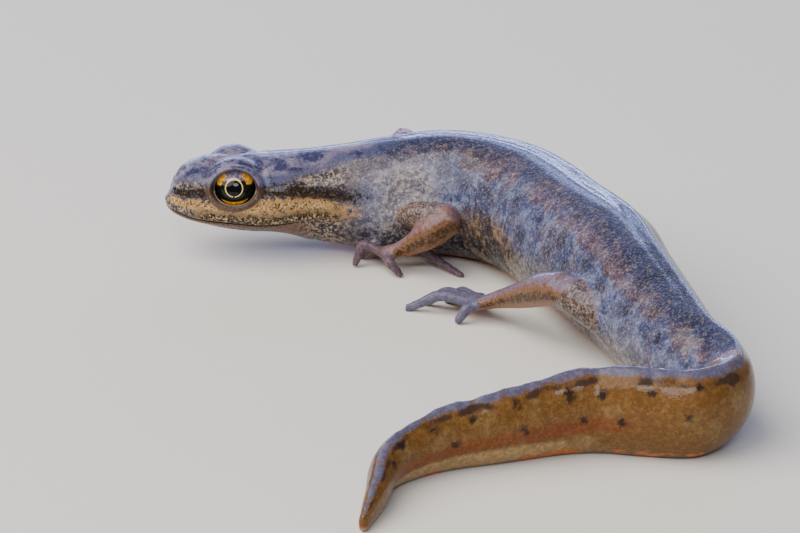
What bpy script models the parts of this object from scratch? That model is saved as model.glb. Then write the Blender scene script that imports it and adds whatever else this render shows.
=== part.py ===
"""A smooth newt at life size, resting on a flat surface with its body and tail curved to one side.

The head looks along -X and +Z is up. The body is one lofted surface, from the snout to the tip of
the tail, that is parted by thin cuts into named lengths. The limbs grow from it on either side.
"""

import math

import bmesh
import bpy
import numpy as np
from mathutils import Matrix, Vector

MM = 0.001  # all sizes below are in millimetres, and the finished meshes are in metres
GAP = 0.3  # clear space between two pieces that meet
CENTRE = np.array((2.54, -14.57, 0.0))  # middle of the footprint, which becomes the origin

# Stations along the body, from the snout to the tip of the tail. Each has the axis point x, y, z,
# the half width, the height over the axis, the depth under it, the squareness of the section
# (2 is an ellipse, less is a blade) and the lean to the animal's right in degrees.
BODY = {
    "snout": (-14.54, 2.30, 3.98, 0.32, 0.42, 0.26, 2.0, 0),
    "snout_curve": (-14.46, 2.31, 3.94, 0.78, 1.00, 0.56, 2.0, 0),
    "nostrils": (-14.22, 2.33, 3.88, 1.20, 1.62, 0.84, 2.1, 0),
    "front_lip": (-13.60, 2.38, 3.79, 1.76, 2.16, 1.16, 2.2, 0),
    "upper_lip": (-12.65, 2.45, 3.75, 2.24, 2.48, 1.42, 2.3, 0),
    "front_of_eye": (-11.65, 2.53, 3.78, 2.50, 2.64, 1.72, 2.3, 0),
    "eye": (-10.50, 2.62, 3.82, 2.72, 2.62, 1.96, 2.3, 0),
    "back_of_eye": (-9.40, 2.70, 3.82, 2.92, 2.64, 2.08, 2.3, 0),
    "cheek": (-8.20, 2.80, 3.80, 3.05, 2.66, 2.16, 2.2, 0),
    "jaw_corner": (-7.20, 2.88, 3.80, 3.02, 2.74, 2.36, 2.2, 1),
    "throat": (-6.00, 2.98, 3.80, 2.76, 2.84, 2.80, 2.1, 2),
    "neck": (-4.40, 3.10, 3.74, 2.74, 3.08, 3.07, 2.1, 3),
    "collar": (-2.80, 3.20, 3.70, 2.95, 3.30, 3.36, 2.1, 4),
    "shoulder": (-0.30, 3.30, 3.80, 3.25, 3.55, 3.84, 2.1, 5),
    "ribs": (3.10, 3.10, 3.88, 3.52, 3.80, 3.98, 2.1, 6),
    "waist": (5.95, 1.70, 3.88, 3.60, 3.84, 3.98, 2.1, 7),
    "bend_start": (7.60, -0.10, 3.88, 3.62, 3.86, 3.98, 2.1, 8),
    "bend_middle": (8.80, -2.20, 3.86, 3.60, 3.86, 3.97, 2.1, 9),
    "flank": (10.30, -5.80, 3.84, 3.55, 3.84, 3.95, 2.1, 10),
    "loin": (12.15, -10.00, 3.80, 3.50, 3.82, 3.92, 2.1, 11),
    "hip": (13.45, -14.60, 3.58, 3.02, 3.60, 3.70, 2.1, 9),
    "vent": (15.10, -19.60, 3.18, 2.66, 3.20, 3.28, 2.0, 8),
    "tail_root": (16.58, -23.90, 2.90, 2.15, 2.90, 2.98, 1.9, 11),
    "tail_bend_in": (17.92, -27.00, 2.78, 1.76, 2.80, 2.84, 1.8, 15),
    "tail_bend": (18.02, -29.20, 2.70, 1.62, 2.74, 2.76, 1.8, 14),
    "tail_bend_out": (16.45, -30.85, 2.62, 1.56, 2.62, 2.68, 1.8, 6),
    "tail_keel": (13.80, -30.75, 2.60, 1.50, 2.62, 2.66, 1.75, 3),
    "tail_middle": (11.00, -30.25, 2.55, 1.42, 2.55, 2.62, 1.7, 3),
    "tail_back": (5.50, -31.80, 2.15, 1.22, 2.12, 2.21, 1.7, 4),
    "tail_curl": (1.60, -33.40, 1.80, 1.04, 1.84, 1.86, 1.7, 4),
    "tail_turn": (-0.60, -35.60, 1.45, 0.88, 1.48, 1.52, 1.7, 4),
    "tail_end": (-1.30, -38.80, 1.00, 0.62, 1.04, 1.06, 1.8, 2),
    "tail_tip": (-2.00, -41.50, 0.45, 0.24, 0.44, 0.48, 2.0, 0),
}
# The lengths that the body is parted into, each up to the next one's first station.
LENGTHS = {
    "head": "snout",
    "neck": "throat",
    "torso_front": "collar",
    "torso_middle": "waist",
    "torso_rear": "loin",
    "tail_base": "vent",
    "tail_bend": "tail_bend",
    "tail_middle": "tail_middle",
    "tail_tip": "tail_curl",
}
HEAD_RING, BODY_RING = 0.30, 1.0  # spacing of the sections along the body
HEAD_SIDES, BODY_SIDES = 40, 26

# Head features. Places are along the axis from the snout, to the side and over the axis.
EYE_ALONG, EYE_SIDE, EYE_OVER = 4.25, 1.40, 0.92
EYE_R = 1.42
EYE_GAP = 0.15  # the lids lie close on the eyeball
EYE_DEPTH = 0.75  # of the eyeball behind its middle, where it is cut flat
LID_R, LID_BLEND = 1.88, 0.35
LID_OPENING = (1.05, 0.82)  # half width and half height at the eyeball's middle
LID_FLARE = 0.34  # widening of the opening for each millimetre outwards
LID_REACH = 3.0  # length of the opening's cutter, longer than the lids are thick
GAZE = (-0.12, 1.0, 0.34)  # direction of the eye along, aside and up
MOUTH_ALONG = (-1.0, 0.6, 1.8, 3.7, 5.8, 7.3)  # the line between the lips, from before the snout
MOUTH_OVER = (-0.44, -0.58, -0.80, -0.98, -1.14, -1.04)
MOUTH_SLIT, MOUTH_DEPTH = 0.17, 0.42
MOUTH_CUT_HALF = 5.0  # half width of the mouth's cutter, wider than the head
MOUTH_CORE = (0.35, 9.0)  # stretch of the head whose core the mouth's cutter leaves whole
NOSTRIL_ALONG, NOSTRIL_SIDE, NOSTRIL_OVER, NOSTRIL_R = 0.30, 0.88, 0.70, 0.17

SNOUT_SECTIONS = np.array((0, 0.05, 0.12, 0.22, 0.36, 0.54, 0.76, 1.0))  # close together where it is round

# Limbs: the stations x, y, z, half width and half height of each, from the root in the body. The lower
# stations run past the wrist or ankle into the palm. A digit has the places of its root, knuckle and tip.
LIMB_SIDES, DIGIT_SIDES = 16, 8
LIMB_RING, DIGIT_RING = 0.62, 0.48
LIMBS = {
    "left_arm": {
        "upper": (
            (-0.60, 1.40, 3.30, 0.95, 0.95),
            (1.30, -0.75, 3.62, 0.80, 0.86),
            (3.25, -2.05, 3.95, 0.88, 0.92),
        ),
        "lower": (
            (3.25, -2.05, 3.95, 0.90, 0.92),
            (1.95, -1.90, 2.95, 0.92, 0.98),
            (0.75, -1.45, 2.00, 0.68, 0.66),
            (-0.15, -0.95, 1.44, 0.52, 0.48),
            (-0.75, -0.60, 1.20, 0.62, 0.40),
            (-1.30, -0.40, 1.06, 0.60, 0.34),
        ),
        "digits": (
            ((-1.15, -0.05, 1.05), (-2.00, 0.85, 0.95), (-2.55, 1.50, 0.02)),
            ((-1.20, -0.35, 1.10), (-2.35, 0.12, 1.42), (-2.88, -0.25, 0.03)),
            ((-1.00, -0.75, 1.02), (-0.62, -1.75, 0.86), (0.15, -2.05, 0.03)),
            ((-0.95, -0.05, 1.00), (1.45, 0.10, 0.95), (4.00, -2.10, 0.03)),
        ),
        "digit_r": 0.33,
    },
    "right_arm": {
        "upper": (
            (-0.60, 5.40, 3.50, 0.95, 0.95),
            (-0.05, 7.45, 4.60, 0.82, 0.84),
            (0.42, 9.00, 5.45, 0.86, 0.86),
        ),
        "lower": (
            (0.42, 9.00, 5.45, 0.88, 0.88),
            (-0.35, 9.70, 4.10, 0.88, 0.86),
            (-1.20, 10.35, 2.45, 0.66, 0.64),
            (-2.05, 10.75, 1.42, 0.52, 0.44),
            (-2.75, 10.85, 1.08, 0.66, 0.38),
            (-3.30, 10.88, 0.90, 0.62, 0.34),
        ),
        "digits": (
            ((-2.90, 10.55, 0.95), (-3.60, 9.80, 0.86), (-4.10, 9.45, 0.02)),
            ((-3.05, 10.70, 0.98), (-4.35, 10.10, 1.14), (-5.20, 9.75, 0.03)),
            ((-3.05, 10.95, 0.98), (-4.50, 11.05, 1.24), (-5.45, 11.10, 0.03)),
            ((-2.90, 11.15, 0.96), (-3.75, 11.80, 1.00), (-4.45, 12.35, 0.03)),
        ),
        "digit_r": 0.33,
    },
    "left_leg": {
        "upper": (
            (12.90, -17.90, 2.85, 1.45, 1.40),
            (11.40, -17.05, 3.50, 1.18, 1.20),
            (9.60, -15.40, 4.20, 1.02, 1.04),
        ),
        "lower": (
            (9.60, -15.40, 4.20, 1.04, 1.04),
            (8.60, -13.95, 3.65, 1.02, 1.04),
            (7.20, -12.00, 2.55, 0.80, 0.80),
            (5.95, -10.30, 1.66, 0.64, 0.56),
            (5.05, -9.50, 1.16, 0.88, 0.42),
            (4.30, -9.00, 0.92, 0.84, 0.34),
        ),
        "digits": (
            ((5.05, -8.95, 0.98), (4.85, -7.95, 0.86), (4.60, -7.10, 0.03)),
            ((4.75, -8.70, 0.98), (3.75, -7.40, 1.05), (2.75, -6.35, 0.04)),
            ((4.55, -8.85, 0.98), (2.85, -7.70, 1.15), (1.35, -6.80, 0.05)),
            ((4.45, -9.10, 0.96), (2.35, -8.35, 1.15), (0.25, -7.80, 0.05)),
            ((4.60, -9.50, 0.94), (4.05, -9.95, 0.95), (3.35, -10.25, 0.04)),
        ),
        "digit_r": 0.37,
    },
    "right_leg": {
        "upper": (
            (14.80, -15.50, 2.80, 1.40, 1.35),
            (15.95, -13.70, 2.65, 1.06, 1.06),
            (16.42, -11.00, 2.40, 0.90, 0.90),
        ),
        "lower": (
            (16.42, -11.00, 2.40, 0.92, 0.92),
            (16.45, -9.75, 2.10, 0.90, 0.90),
            (16.30, -7.90, 1.60, 0.72, 0.72),
            (15.95, -6.60, 1.10, 0.60, 0.52),
            (15.70, -5.70, 0.80, 0.84, 0.40),
            (15.55, -5.00, 0.64, 0.82, 0.34),
        ),
        "digits": (
            ((15.30, -5.65, 0.64), (14.40, -5.10, 0.64), (13.75, -4.75, 0.03)),
            ((15.25, -5.25, 0.68), (14.30, -3.85, 0.86), (13.60, -2.90, 0.04)),
            ((15.45, -5.15, 0.70), (15.10, -3.20, 0.98), (14.75, -1.70, 0.05)),
            ((15.65, -5.20, 0.70), (16.15, -3.35, 0.98), (16.40, -1.80, 0.05)),
            ((15.85, -5.50, 0.66), (16.75, -4.55, 0.76), (17.35, -3.65, 0.04)),
        ),
        "digit_r": 0.37,
    },
}
WRIST = 3  # which of the lower stations is the wrist or ankle
JOINT_ROUND = 0.8  # how far each segment reaches past the elbow or knee before they are parted there
PALM_ROUND = 0.3  # rounding at the front of the palm
SEGMENTS = {"arm": ("upper_arm", "forearm", "hand"), "leg": ("thigh", "shin", "foot")}
LIMB_SPANS = {"arm": ("throat", "waist"), "leg": ("flank", "tail_root")}  # of the body, to trim each limb
FLOOR_SPAN, FLOOR_SLAB = 120.0, 6.0  # the cutter that gives the feet their flats on the floor

# Finishes: colour as sRGB hex, and roughness.
FINISHES = {
    "skin_back": ("5b5648", 0.38),
    "skin_tail": ("7d6038", 0.40),
    "skin_limb": ("6e5648", 0.38),
    "eye": ("17120c", 0.08),
}


def clear_scene():
    for obj in list(bpy.data.objects):
        bpy.data.objects.remove(obj)


def material(name, shade, roughness):
    """A Principled material of that sRGB hex colour and roughness."""
    made = bpy.data.materials.new(name)
    made.use_nodes = True
    shader = made.node_tree.nodes["Principled BSDF"]
    channels = [int(shade[i : i + 2], 16) / 255 for i in (0, 2, 4)]
    linear = [((c + 0.055) / 1.055) ** 2.4 if c > 0.04045 else c / 12.92 for c in channels]
    shader.inputs["Base Color"].default_value = (*linear, 1)
    shader.inputs["Roughness"].default_value = roughness
    shader.inputs["Metallic"].default_value = 0
    return made


class Curve:
    """A smooth curve through rows of numbers, one row for each distance. With keep, it never overshoots."""

    def __init__(self, distances, rows, keep=False):
        self.s, self.rows = np.asarray(distances, float), np.asarray(rows, float)
        step = np.diff(self.s)[:, None]
        slope = np.diff(self.rows, axis=0) / step
        inner = (slope[:-1] * step[1:] + slope[1:] * step[:-1]) / (step[1:] + step[:-1])
        if keep:
            inner = np.where(slope[:-1] * slope[1:] <= 0, 0, inner)
            limit = 3 * np.minimum(np.abs(slope[:-1]), np.abs(slope[1:]))
            inner = np.clip(inner, -limit, limit)
        self.slopes = np.vstack([slope[:1], inner, slope[-1:]])

    def at(self, s):
        s = np.clip(np.atleast_1d(s), self.s[0], self.s[-1])
        i = np.clip(np.searchsorted(self.s, s, side="right") - 1, 0, len(self.s) - 2)
        step = self.s[i + 1] - self.s[i]
        t = ((s - self.s[i]) / step)[:, None]
        step = step[:, None]
        return (
            (2 * t**3 - 3 * t**2 + 1) * self.rows[i]
            + (t**3 - 2 * t**2 + t) * step * self.slopes[i]
            + (3 * t**2 - 2 * t**3) * self.rows[i + 1]
            + (t**3 - t**2) * step * self.slopes[i + 1]
        )


class Loft:
    """A surface of sections along a path. Each row is x, y, z, half width, over, under, squareness, lean."""

    STEP = 0.02  # half the length over which the path's direction is read

    def __init__(self, rows):
        rows = np.asarray(rows, float)
        lengths = np.linalg.norm(np.diff(rows[:, :3], axis=0), axis=1)
        self.stations = np.concatenate([[0], np.cumsum(lengths)])
        self.length = self.stations[-1]
        self.path = Curve(self.stations, rows[:, :3])
        self.sizes = Curve(self.stations, rows[:, 3:], keep=True)

    def frame(self, s):
        """The axis points, and the directions along, to the right and up, at these distances."""
        s = np.atleast_1d(s).astype(float)
        point = self.path.at(s)
        along = self.path.at(s + self.STEP) - self.path.at(s - self.STEP)
        along /= np.linalg.norm(along, axis=1)[:, None]
        right = np.cross(-along, (0, 0, 1))
        right /= np.linalg.norm(right, axis=1)[:, None]
        up = np.cross(right, -along)
        lean = np.radians(self.sizes.at(s)[:, 4])[:, None]
        leaned = right * np.cos(lean) - up * np.sin(lean)
        return point, along, leaned, up * np.cos(lean) + right * np.sin(lean)

    def place(self, s, aside, over):
        """The point that far along the path, to the animal's right and over the axis."""
        point, _, right, up = self.frame(s)
        return (point + right * aside + up * over)[0]

    def rings(self, distances, sides, grow=0.0, scale=None):
        """Rings of points, grown outwards by some millimetres or scaled."""
        distances = np.asarray(distances, float)
        point, _, right, up = self.frame(distances)
        width, over, under, square, _ = self.sizes.at(distances).T
        scale = np.ones(len(distances)) if scale is None else scale
        turn = np.linspace(0, 2 * math.pi, sides, endpoint=False)
        cosine, sine = np.cos(turn), np.sin(turn)
        power = (2 / square)[:, None]
        across = np.sign(cosine) * np.abs(cosine) ** power
        height = np.sign(sine) * np.abs(sine) ** power
        reach = np.where(sine > 0, over[:, None], under[:, None])
        x = (width[:, None] * scale[:, None] + grow) * across
        z = (reach * scale[:, None] + grow) * height
        return point[:, None] + right[:, None] * x[..., None] + up[:, None] * z[..., None]


def mesh_object(name, rings):
    """A closed object from rings of points in millimetres, with flat caps."""
    sides = rings.shape[1]
    shape = bmesh.new()
    loops = [[shape.verts.new(p) for p in ring] for ring in rings]
    for a, b in zip(loops, loops[1:]):
        for i in range(sides):
            j = (i + 1) % sides
            shape.faces.new((a[i], a[j], b[j], b[i]))
    shape.faces.new(loops[0])
    shape.faces.new(loops[-1])
    bmesh.ops.recalc_face_normals(shape, faces=shape.faces)
    return object_from(name, shape)


def object_from(name, shape):
    mesh = bpy.data.meshes.new(name)
    shape.to_mesh(mesh)
    shape.free()
    made = bpy.data.objects.new(name, mesh)
    bpy.context.scene.collection.objects.link(made)
    return made


def rounded(length, radius, spacing, steps=3, start=False, end=True):
    """Distances along a tube and the scale of its section at each, with hemispherical ends where asked."""
    cap = np.sin(np.linspace(0.12, math.pi / 2, steps))
    inset = radius * (1 - np.sqrt(1 - cap**2))
    first = inset if start else np.array([0.0])
    last = length - inset[::-1] if end else np.array([length])
    inner = np.arange(first[-1] + spacing, last[0] - 0.4 * spacing, spacing)
    distances = np.concatenate([first, inner, last])
    scale = np.ones(len(distances))
    if start:
        scale[: len(first)] = cap
    if end:
        scale[-len(last) :] = cap[::-1]
    return distances, scale


def boolean(obj, tools, operation):
    """Cuts the object by the tools, or joins them to it, and removes them."""
    group = bpy.data.collections.new("tools")
    bpy.context.scene.collection.children.link(group)
    for tool in tools:
        group.objects.link(tool)
    modifier = obj.modifiers.new(operation, "BOOLEAN")
    modifier.operation = operation
    modifier.operand_type = "COLLECTION"
    modifier.collection = group
    modifier.solver = "EXACT"
    graph = bpy.context.evaluated_depsgraph_get()
    mesh = bpy.data.meshes.new_from_object(obj.evaluated_get(graph))
    obj.modifiers.clear()
    obj.data = mesh
    for tool in tools:
        bpy.data.objects.remove(tool)
    bpy.data.collections.remove(group)
    keep_largest(obj)


def keep_largest(obj):
    """Drops every closed surface of the object but the largest."""
    shape = bmesh.new()
    shape.from_mesh(obj.data)
    bmesh.ops.remove_doubles(shape, verts=shape.verts, dist=1e-5)
    bmesh.ops.dissolve_degenerate(shape, edges=shape.edges, dist=1e-5)
    waiting, groups = set(shape.faces), []
    while waiting:
        front, group = [waiting.pop()], []
        while front:
            face = front.pop()
            group.append(face)
            for edge in face.edges:
                for other in edge.link_faces:
                    if other in waiting:
                        waiting.remove(other)
                        front.append(other)
        groups.append(group)
    groups.sort(key=lambda group: sum(face.calc_area() for face in group))
    spare = [face for group in groups[:-1] for face in group]
    bmesh.ops.delete(shape, geom=spare, context="FACES")
    loose = [v for v in shape.verts if not v.link_faces]
    bmesh.ops.delete(shape, geom=loose, context="VERTS")
    shape.to_mesh(obj.data)
    shape.free()


def slice_off(obj, point, normal):
    """Cuts away what lies past a plane, on the side that the normal points to, and closes the cut."""
    shape = bmesh.new()
    shape.from_mesh(obj.data)
    cut = bmesh.ops.bisect_plane(
        shape,
        geom=shape.verts[:] + shape.edges[:] + shape.faces[:],
        plane_co=Vector(point),
        plane_no=Vector(normal),
        clear_outer=True,
    )
    rim = [e for e in cut["geom_cut"] if isinstance(e, bmesh.types.BMEdge)]
    bmesh.ops.holes_fill(shape, edges=rim, sides=0)
    bmesh.ops.recalc_face_normals(shape, faces=shape.faces)
    shape.to_mesh(obj.data)
    shape.free()


def ball(name, middle, radius, fineness=4):
    shape = bmesh.new()
    bmesh.ops.create_uvsphere(shape, u_segments=6 * fineness, v_segments=3 * fineness, radius=radius)
    bmesh.ops.translate(shape, verts=shape.verts, vec=Vector(middle))
    return object_from(name, shape)


def floor_cutter():
    """A slab under the newt whose top is the floor."""
    shape = bmesh.new()
    bmesh.ops.create_cube(shape, size=1)
    bmesh.ops.scale(shape, verts=shape.verts, vec=(FLOOR_SPAN, FLOOR_SPAN, FLOOR_SLAB))
    bmesh.ops.translate(shape, verts=shape.verts, vec=(*CENTRE[:2], -FLOOR_SLAB / 2))
    return object_from("floor_cutter", shape)


body = Loft(list(BODY.values()))
station = dict(zip(BODY, body.stations))


def body_distances(first, last):
    """Where the sections of one length of the body stand, closer on the head and round the snout."""
    spacing = HEAD_RING if last <= station["neck"] else BODY_RING
    count = max(2, round((last - first) / spacing))
    distances = np.linspace(first, last, count + 1)
    if first == 0:
        beyond = distances[distances > SNOUT_SECTIONS[-1] + spacing / 2]
        return np.concatenate([SNOUT_SECTIONS, beyond])
    return distances


def eye_place(side):
    """The middle of the eyeball. Side is 1 on the animal's right and -1 on its left."""
    return body.place(EYE_ALONG, side * EYE_SIDE, EYE_OVER)


def gaze(side):
    _, along, right, up = body.frame(EYE_ALONG)
    direction = along[0] * GAZE[0] + right[0] * side * GAZE[1] + up[0] * GAZE[2]
    return direction / np.linalg.norm(direction)


def raise_lids(rings):
    """Pushes the head's surface out round each eyeball, into the bulge of the brow and the lids."""
    for side in (1, -1):
        middle = eye_place(side)
        away = rings - middle
        distance = np.linalg.norm(away, axis=2)[..., None]
        pushed = 0.5 * (distance + LID_R + np.sqrt((distance - LID_R) ** 2 + LID_BLEND**2))
        fade = np.clip((2.6 * LID_R - distance) / LID_R, 0, 1)
        rings = middle + away / distance * (distance + (pushed - distance) * fade)
    return rings


def mouth_cutter():
    """A thin curved sheet at the line of the mouth, with the head's core taken out of its middle."""
    line = Curve(MOUTH_ALONG, np.reshape(MOUTH_OVER, (-1, 1)))
    distances = np.linspace(MOUTH_ALONG[0], MOUTH_ALONG[-1], 16)
    point, _, right, up = body.frame(np.clip(distances, 0, None))
    point = point + np.where(distances < 0, distances, 0)[:, None] * body.frame(0)[1]
    middle = point + up * line.at(distances)
    aside = right * MOUTH_CUT_HALF
    lift = up * MOUTH_SLIT / 2
    corners = [middle - aside - lift, middle + aside - lift, middle + aside + lift, middle - aside + lift]
    slit = mesh_object("mouth_slit", np.stack(corners, axis=1))
    core = mesh_object("head_core", body.rings(np.linspace(*MOUTH_CORE, 14), 20, grow=-MOUTH_DEPTH))
    boolean(slit, [core], "DIFFERENCE")
    return slit


def socket_cutter(side):
    """The ball that the eyeball lies in, and the opening between the lids."""
    middle = eye_place(side)
    socket = ball("socket", middle, EYE_R + EYE_GAP, 5)
    slice_off(socket, middle - gaze(side) * (EYE_DEPTH + GAP), -gaze(side))
    out = Vector(gaze(side))
    shape = bmesh.new()
    bmesh.ops.create_cone(
        shape, cap_ends=True, segments=32, radius1=1, radius2=1 + LID_FLARE * LID_REACH, depth=LID_REACH
    )
    bmesh.ops.scale(shape, verts=shape.verts, vec=(*LID_OPENING, 1))
    across = Vector(body.frame(EYE_ALONG)[1][0])
    height = out.cross(across).normalized()
    across = height.cross(out)
    for vert in shape.verts:
        x, y, z = vert.co
        vert.co = Vector(middle) + across * x + height * y + out * (z + LID_REACH / 2)
    bmesh.ops.recalc_face_normals(shape, faces=shape.faces)
    boolean(socket, [object_from("lid_opening", shape)], "UNION")
    return socket


def make_head(obj):
    """Opens the eye sockets, the mouth and the nostrils."""
    cutters = [mouth_cutter()]
    for side in (1, -1):
        cutters.append(socket_cutter(side))
        nostril = body.place(NOSTRIL_ALONG, side * NOSTRIL_SIDE, NOSTRIL_OVER)
        cutters.append(ball("nostril", nostril, NOSTRIL_R, 2))
    for cutter in cutters:
        boolean(obj, [cutter], "DIFFERENCE")


def make_body():
    """The head, neck, torso and tail, each a closed length of the one surface."""
    names = list(LENGTHS)
    starts = [station[LENGTHS[name]] for name in names] + [body.length]
    for name, start, stop in zip(names, starts, starts[1:]):
        first = start + (GAP / 2 if start > 0 else 0)
        last = stop - (GAP / 2 if stop < body.length else 0)
        distances = body_distances(first, last)
        on_head = name == "head"
        rings = body.rings(distances, HEAD_SIDES if on_head else BODY_SIDES)
        if on_head:
            rings = raise_lids(rings)
        rings[..., 2] = np.maximum(rings[..., 2], 0)
        obj = mesh_object(name, rings)
        if on_head:
            make_head(obj)
        finish(obj, "skin_tail" if name.startswith("tail") else "skin_back")


def make_eyes():
    for name, side in (("eye_right", 1), ("eye_left", -1)):
        middle = eye_place(side)
        eye = ball(name, middle, EYE_R, 4)
        slice_off(eye, middle - gaze(side) * EYE_DEPTH, -gaze(side))
        finish(eye, "eye")


def body_cutter(first, last):
    """The body between two stations, larger all round by the gap, to trim what grows from it."""
    distances = body_distances(station[first], station[last])
    return mesh_object("body_cutter", body.rings(distances, BODY_SIDES, grow=GAP))


def limb_rows(points):
    return [(*p[:3], p[3], p[4], p[4], 2.0, 0.0) for p in points]


def digit(points, radius):
    """A tapered finger or toe with a raised knuckle and a round tip."""
    root, knuckle, tip = (np.array(p) for p in points)
    rows = [(*root, radius, radius), (*((root + knuckle) / 2 + (0, 0, 0.06)), radius, radius)]
    rows += [(*knuckle, 0.94 * radius, 0.94 * radius), (*((knuckle + tip) / 2), 0.86 * radius, 0.84 * radius)]
    rows += [(*tip, 0.7 * radius, 0.66 * radius)]
    loft = Loft(limb_rows(rows))
    distances, scale = rounded(loft.length, 0.7 * radius, DIGIT_RING)
    return mesh_object("digit", loft.rings(distances, DIGIT_SIDES, scale=scale))


def fold_plane(upper, lower):
    """The plane through the elbow or knee that parts the two segments evenly."""
    joint = np.array(lower[0][:3])
    to_root = np.array(upper[-2][:3]) - joint
    to_tip = np.array(lower[1][:3]) - joint
    normal = to_tip / np.linalg.norm(to_tip) - to_root / np.linalg.norm(to_root)
    return joint, normal / np.linalg.norm(normal)


def make_limb(limb, spec):
    """The three segments of an arm or a leg, with the fingers or toes joined to the last."""
    side, kind = limb.split("_")
    upper_name, lower_name, end_name = (f"{side}_{part}" for part in SEGMENTS[kind])
    span = LIMB_SPANS[kind]
    joint, normal = fold_plane(spec["upper"], spec["lower"])
    joint_r = spec["lower"][0][3]

    past_elbow = Loft(limb_rows((*spec["upper"][:-1], extended(spec["upper"]))))
    distances, scale = rounded(past_elbow.length, joint_r, LIMB_RING, steps=4)
    upper = mesh_object(upper_name, past_elbow.rings(distances, LIMB_SIDES, scale=scale))
    slice_off(upper, joint - normal * GAP / 2, normal)
    boolean(upper, [body_cutter(*span)], "DIFFERENCE")
    finish(upper, "skin_limb")

    before_elbow = Loft(limb_rows((extended(spec["lower"][1::-1]), *spec["lower"][1:])))
    wrist = before_elbow.stations[WRIST]
    distances, scale = rounded(wrist - GAP / 2, joint_r, LIMB_RING, steps=4, start=True, end=False)
    lower = mesh_object(lower_name, before_elbow.rings(distances, LIMB_SIDES, scale=scale))
    slice_off(lower, joint + normal * GAP / 2, -normal)
    boolean(lower, [body_cutter(*span)], "DIFFERENCE")
    finish(lower, "skin_limb")

    palm_start = wrist + GAP / 2
    distances, scale = rounded(before_elbow.length - palm_start, PALM_ROUND, LIMB_RING)
    palm = mesh_object(end_name, before_elbow.rings(palm_start + distances, LIMB_SIDES, scale=scale))
    boolean(palm, [digit(points, spec["digit_r"]) for points in spec["digits"]], "UNION")
    boolean(palm, [floor_cutter()], "DIFFERENCE")
    boolean(palm, [body_cutter(*span)], "DIFFERENCE")
    finish(palm, "skin_limb")


def extended(rows):
    """The last of the rows moved on along its segment, so that its round end reaches round the joint."""
    last, before = np.array(rows[-1], float), np.array(rows[-2], float)
    way = last[:3] - before[:3]
    last[:3] += way / np.linalg.norm(way) * JOINT_ROUND
    return tuple(last)


def finish(obj, look):
    """Gives the piece its real size round the origin, and its material and shading."""
    obj.data.transform(Matrix.Scale(MM, 4) @ Matrix.Translation(-Vector(CENTRE)))
    obj.data.materials.clear()
    obj.data.materials.append(materials[look])
    for face in obj.data.polygons:
        face.use_smooth = True


clear_scene()
materials = {look: material(look, *values) for look, values in FINISHES.items()}
make_body()
make_eyes()
for limb_name, limb_spec in LIMBS.items():
    make_limb(limb_name, limb_spec)
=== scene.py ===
"""The looks of a smooth newt at life size: one moist skin, two wet eyes and their lid rims.

The skin is lofted along the same body and limbs as the solids, fused into one surface, smoothed,
and then given its lids, lips, folds and markings. Sizes are in millimetres unless a name says otherwise.
"""

import math

import bmesh
import bpy
import numpy as np
from mathutils import Matrix, Vector
from mathutils.kdtree import KDTree

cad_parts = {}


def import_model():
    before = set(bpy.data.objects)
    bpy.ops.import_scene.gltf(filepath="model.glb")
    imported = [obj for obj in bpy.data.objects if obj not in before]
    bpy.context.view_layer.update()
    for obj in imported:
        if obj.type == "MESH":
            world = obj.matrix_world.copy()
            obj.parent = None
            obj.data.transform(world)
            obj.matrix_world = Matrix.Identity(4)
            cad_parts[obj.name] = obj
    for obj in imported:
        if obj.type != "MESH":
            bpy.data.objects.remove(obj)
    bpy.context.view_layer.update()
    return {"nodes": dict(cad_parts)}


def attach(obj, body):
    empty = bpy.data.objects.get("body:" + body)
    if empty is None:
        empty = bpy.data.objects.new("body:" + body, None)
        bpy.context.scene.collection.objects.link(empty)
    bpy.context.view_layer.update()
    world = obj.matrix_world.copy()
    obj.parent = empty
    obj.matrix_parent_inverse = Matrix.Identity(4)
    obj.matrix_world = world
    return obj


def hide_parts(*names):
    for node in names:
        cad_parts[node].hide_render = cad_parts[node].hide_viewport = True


MM = 0.001
CENTRE = np.array((2.54, -14.57, 0.0))  # middle of the footprint, where the finished model has its origin

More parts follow.
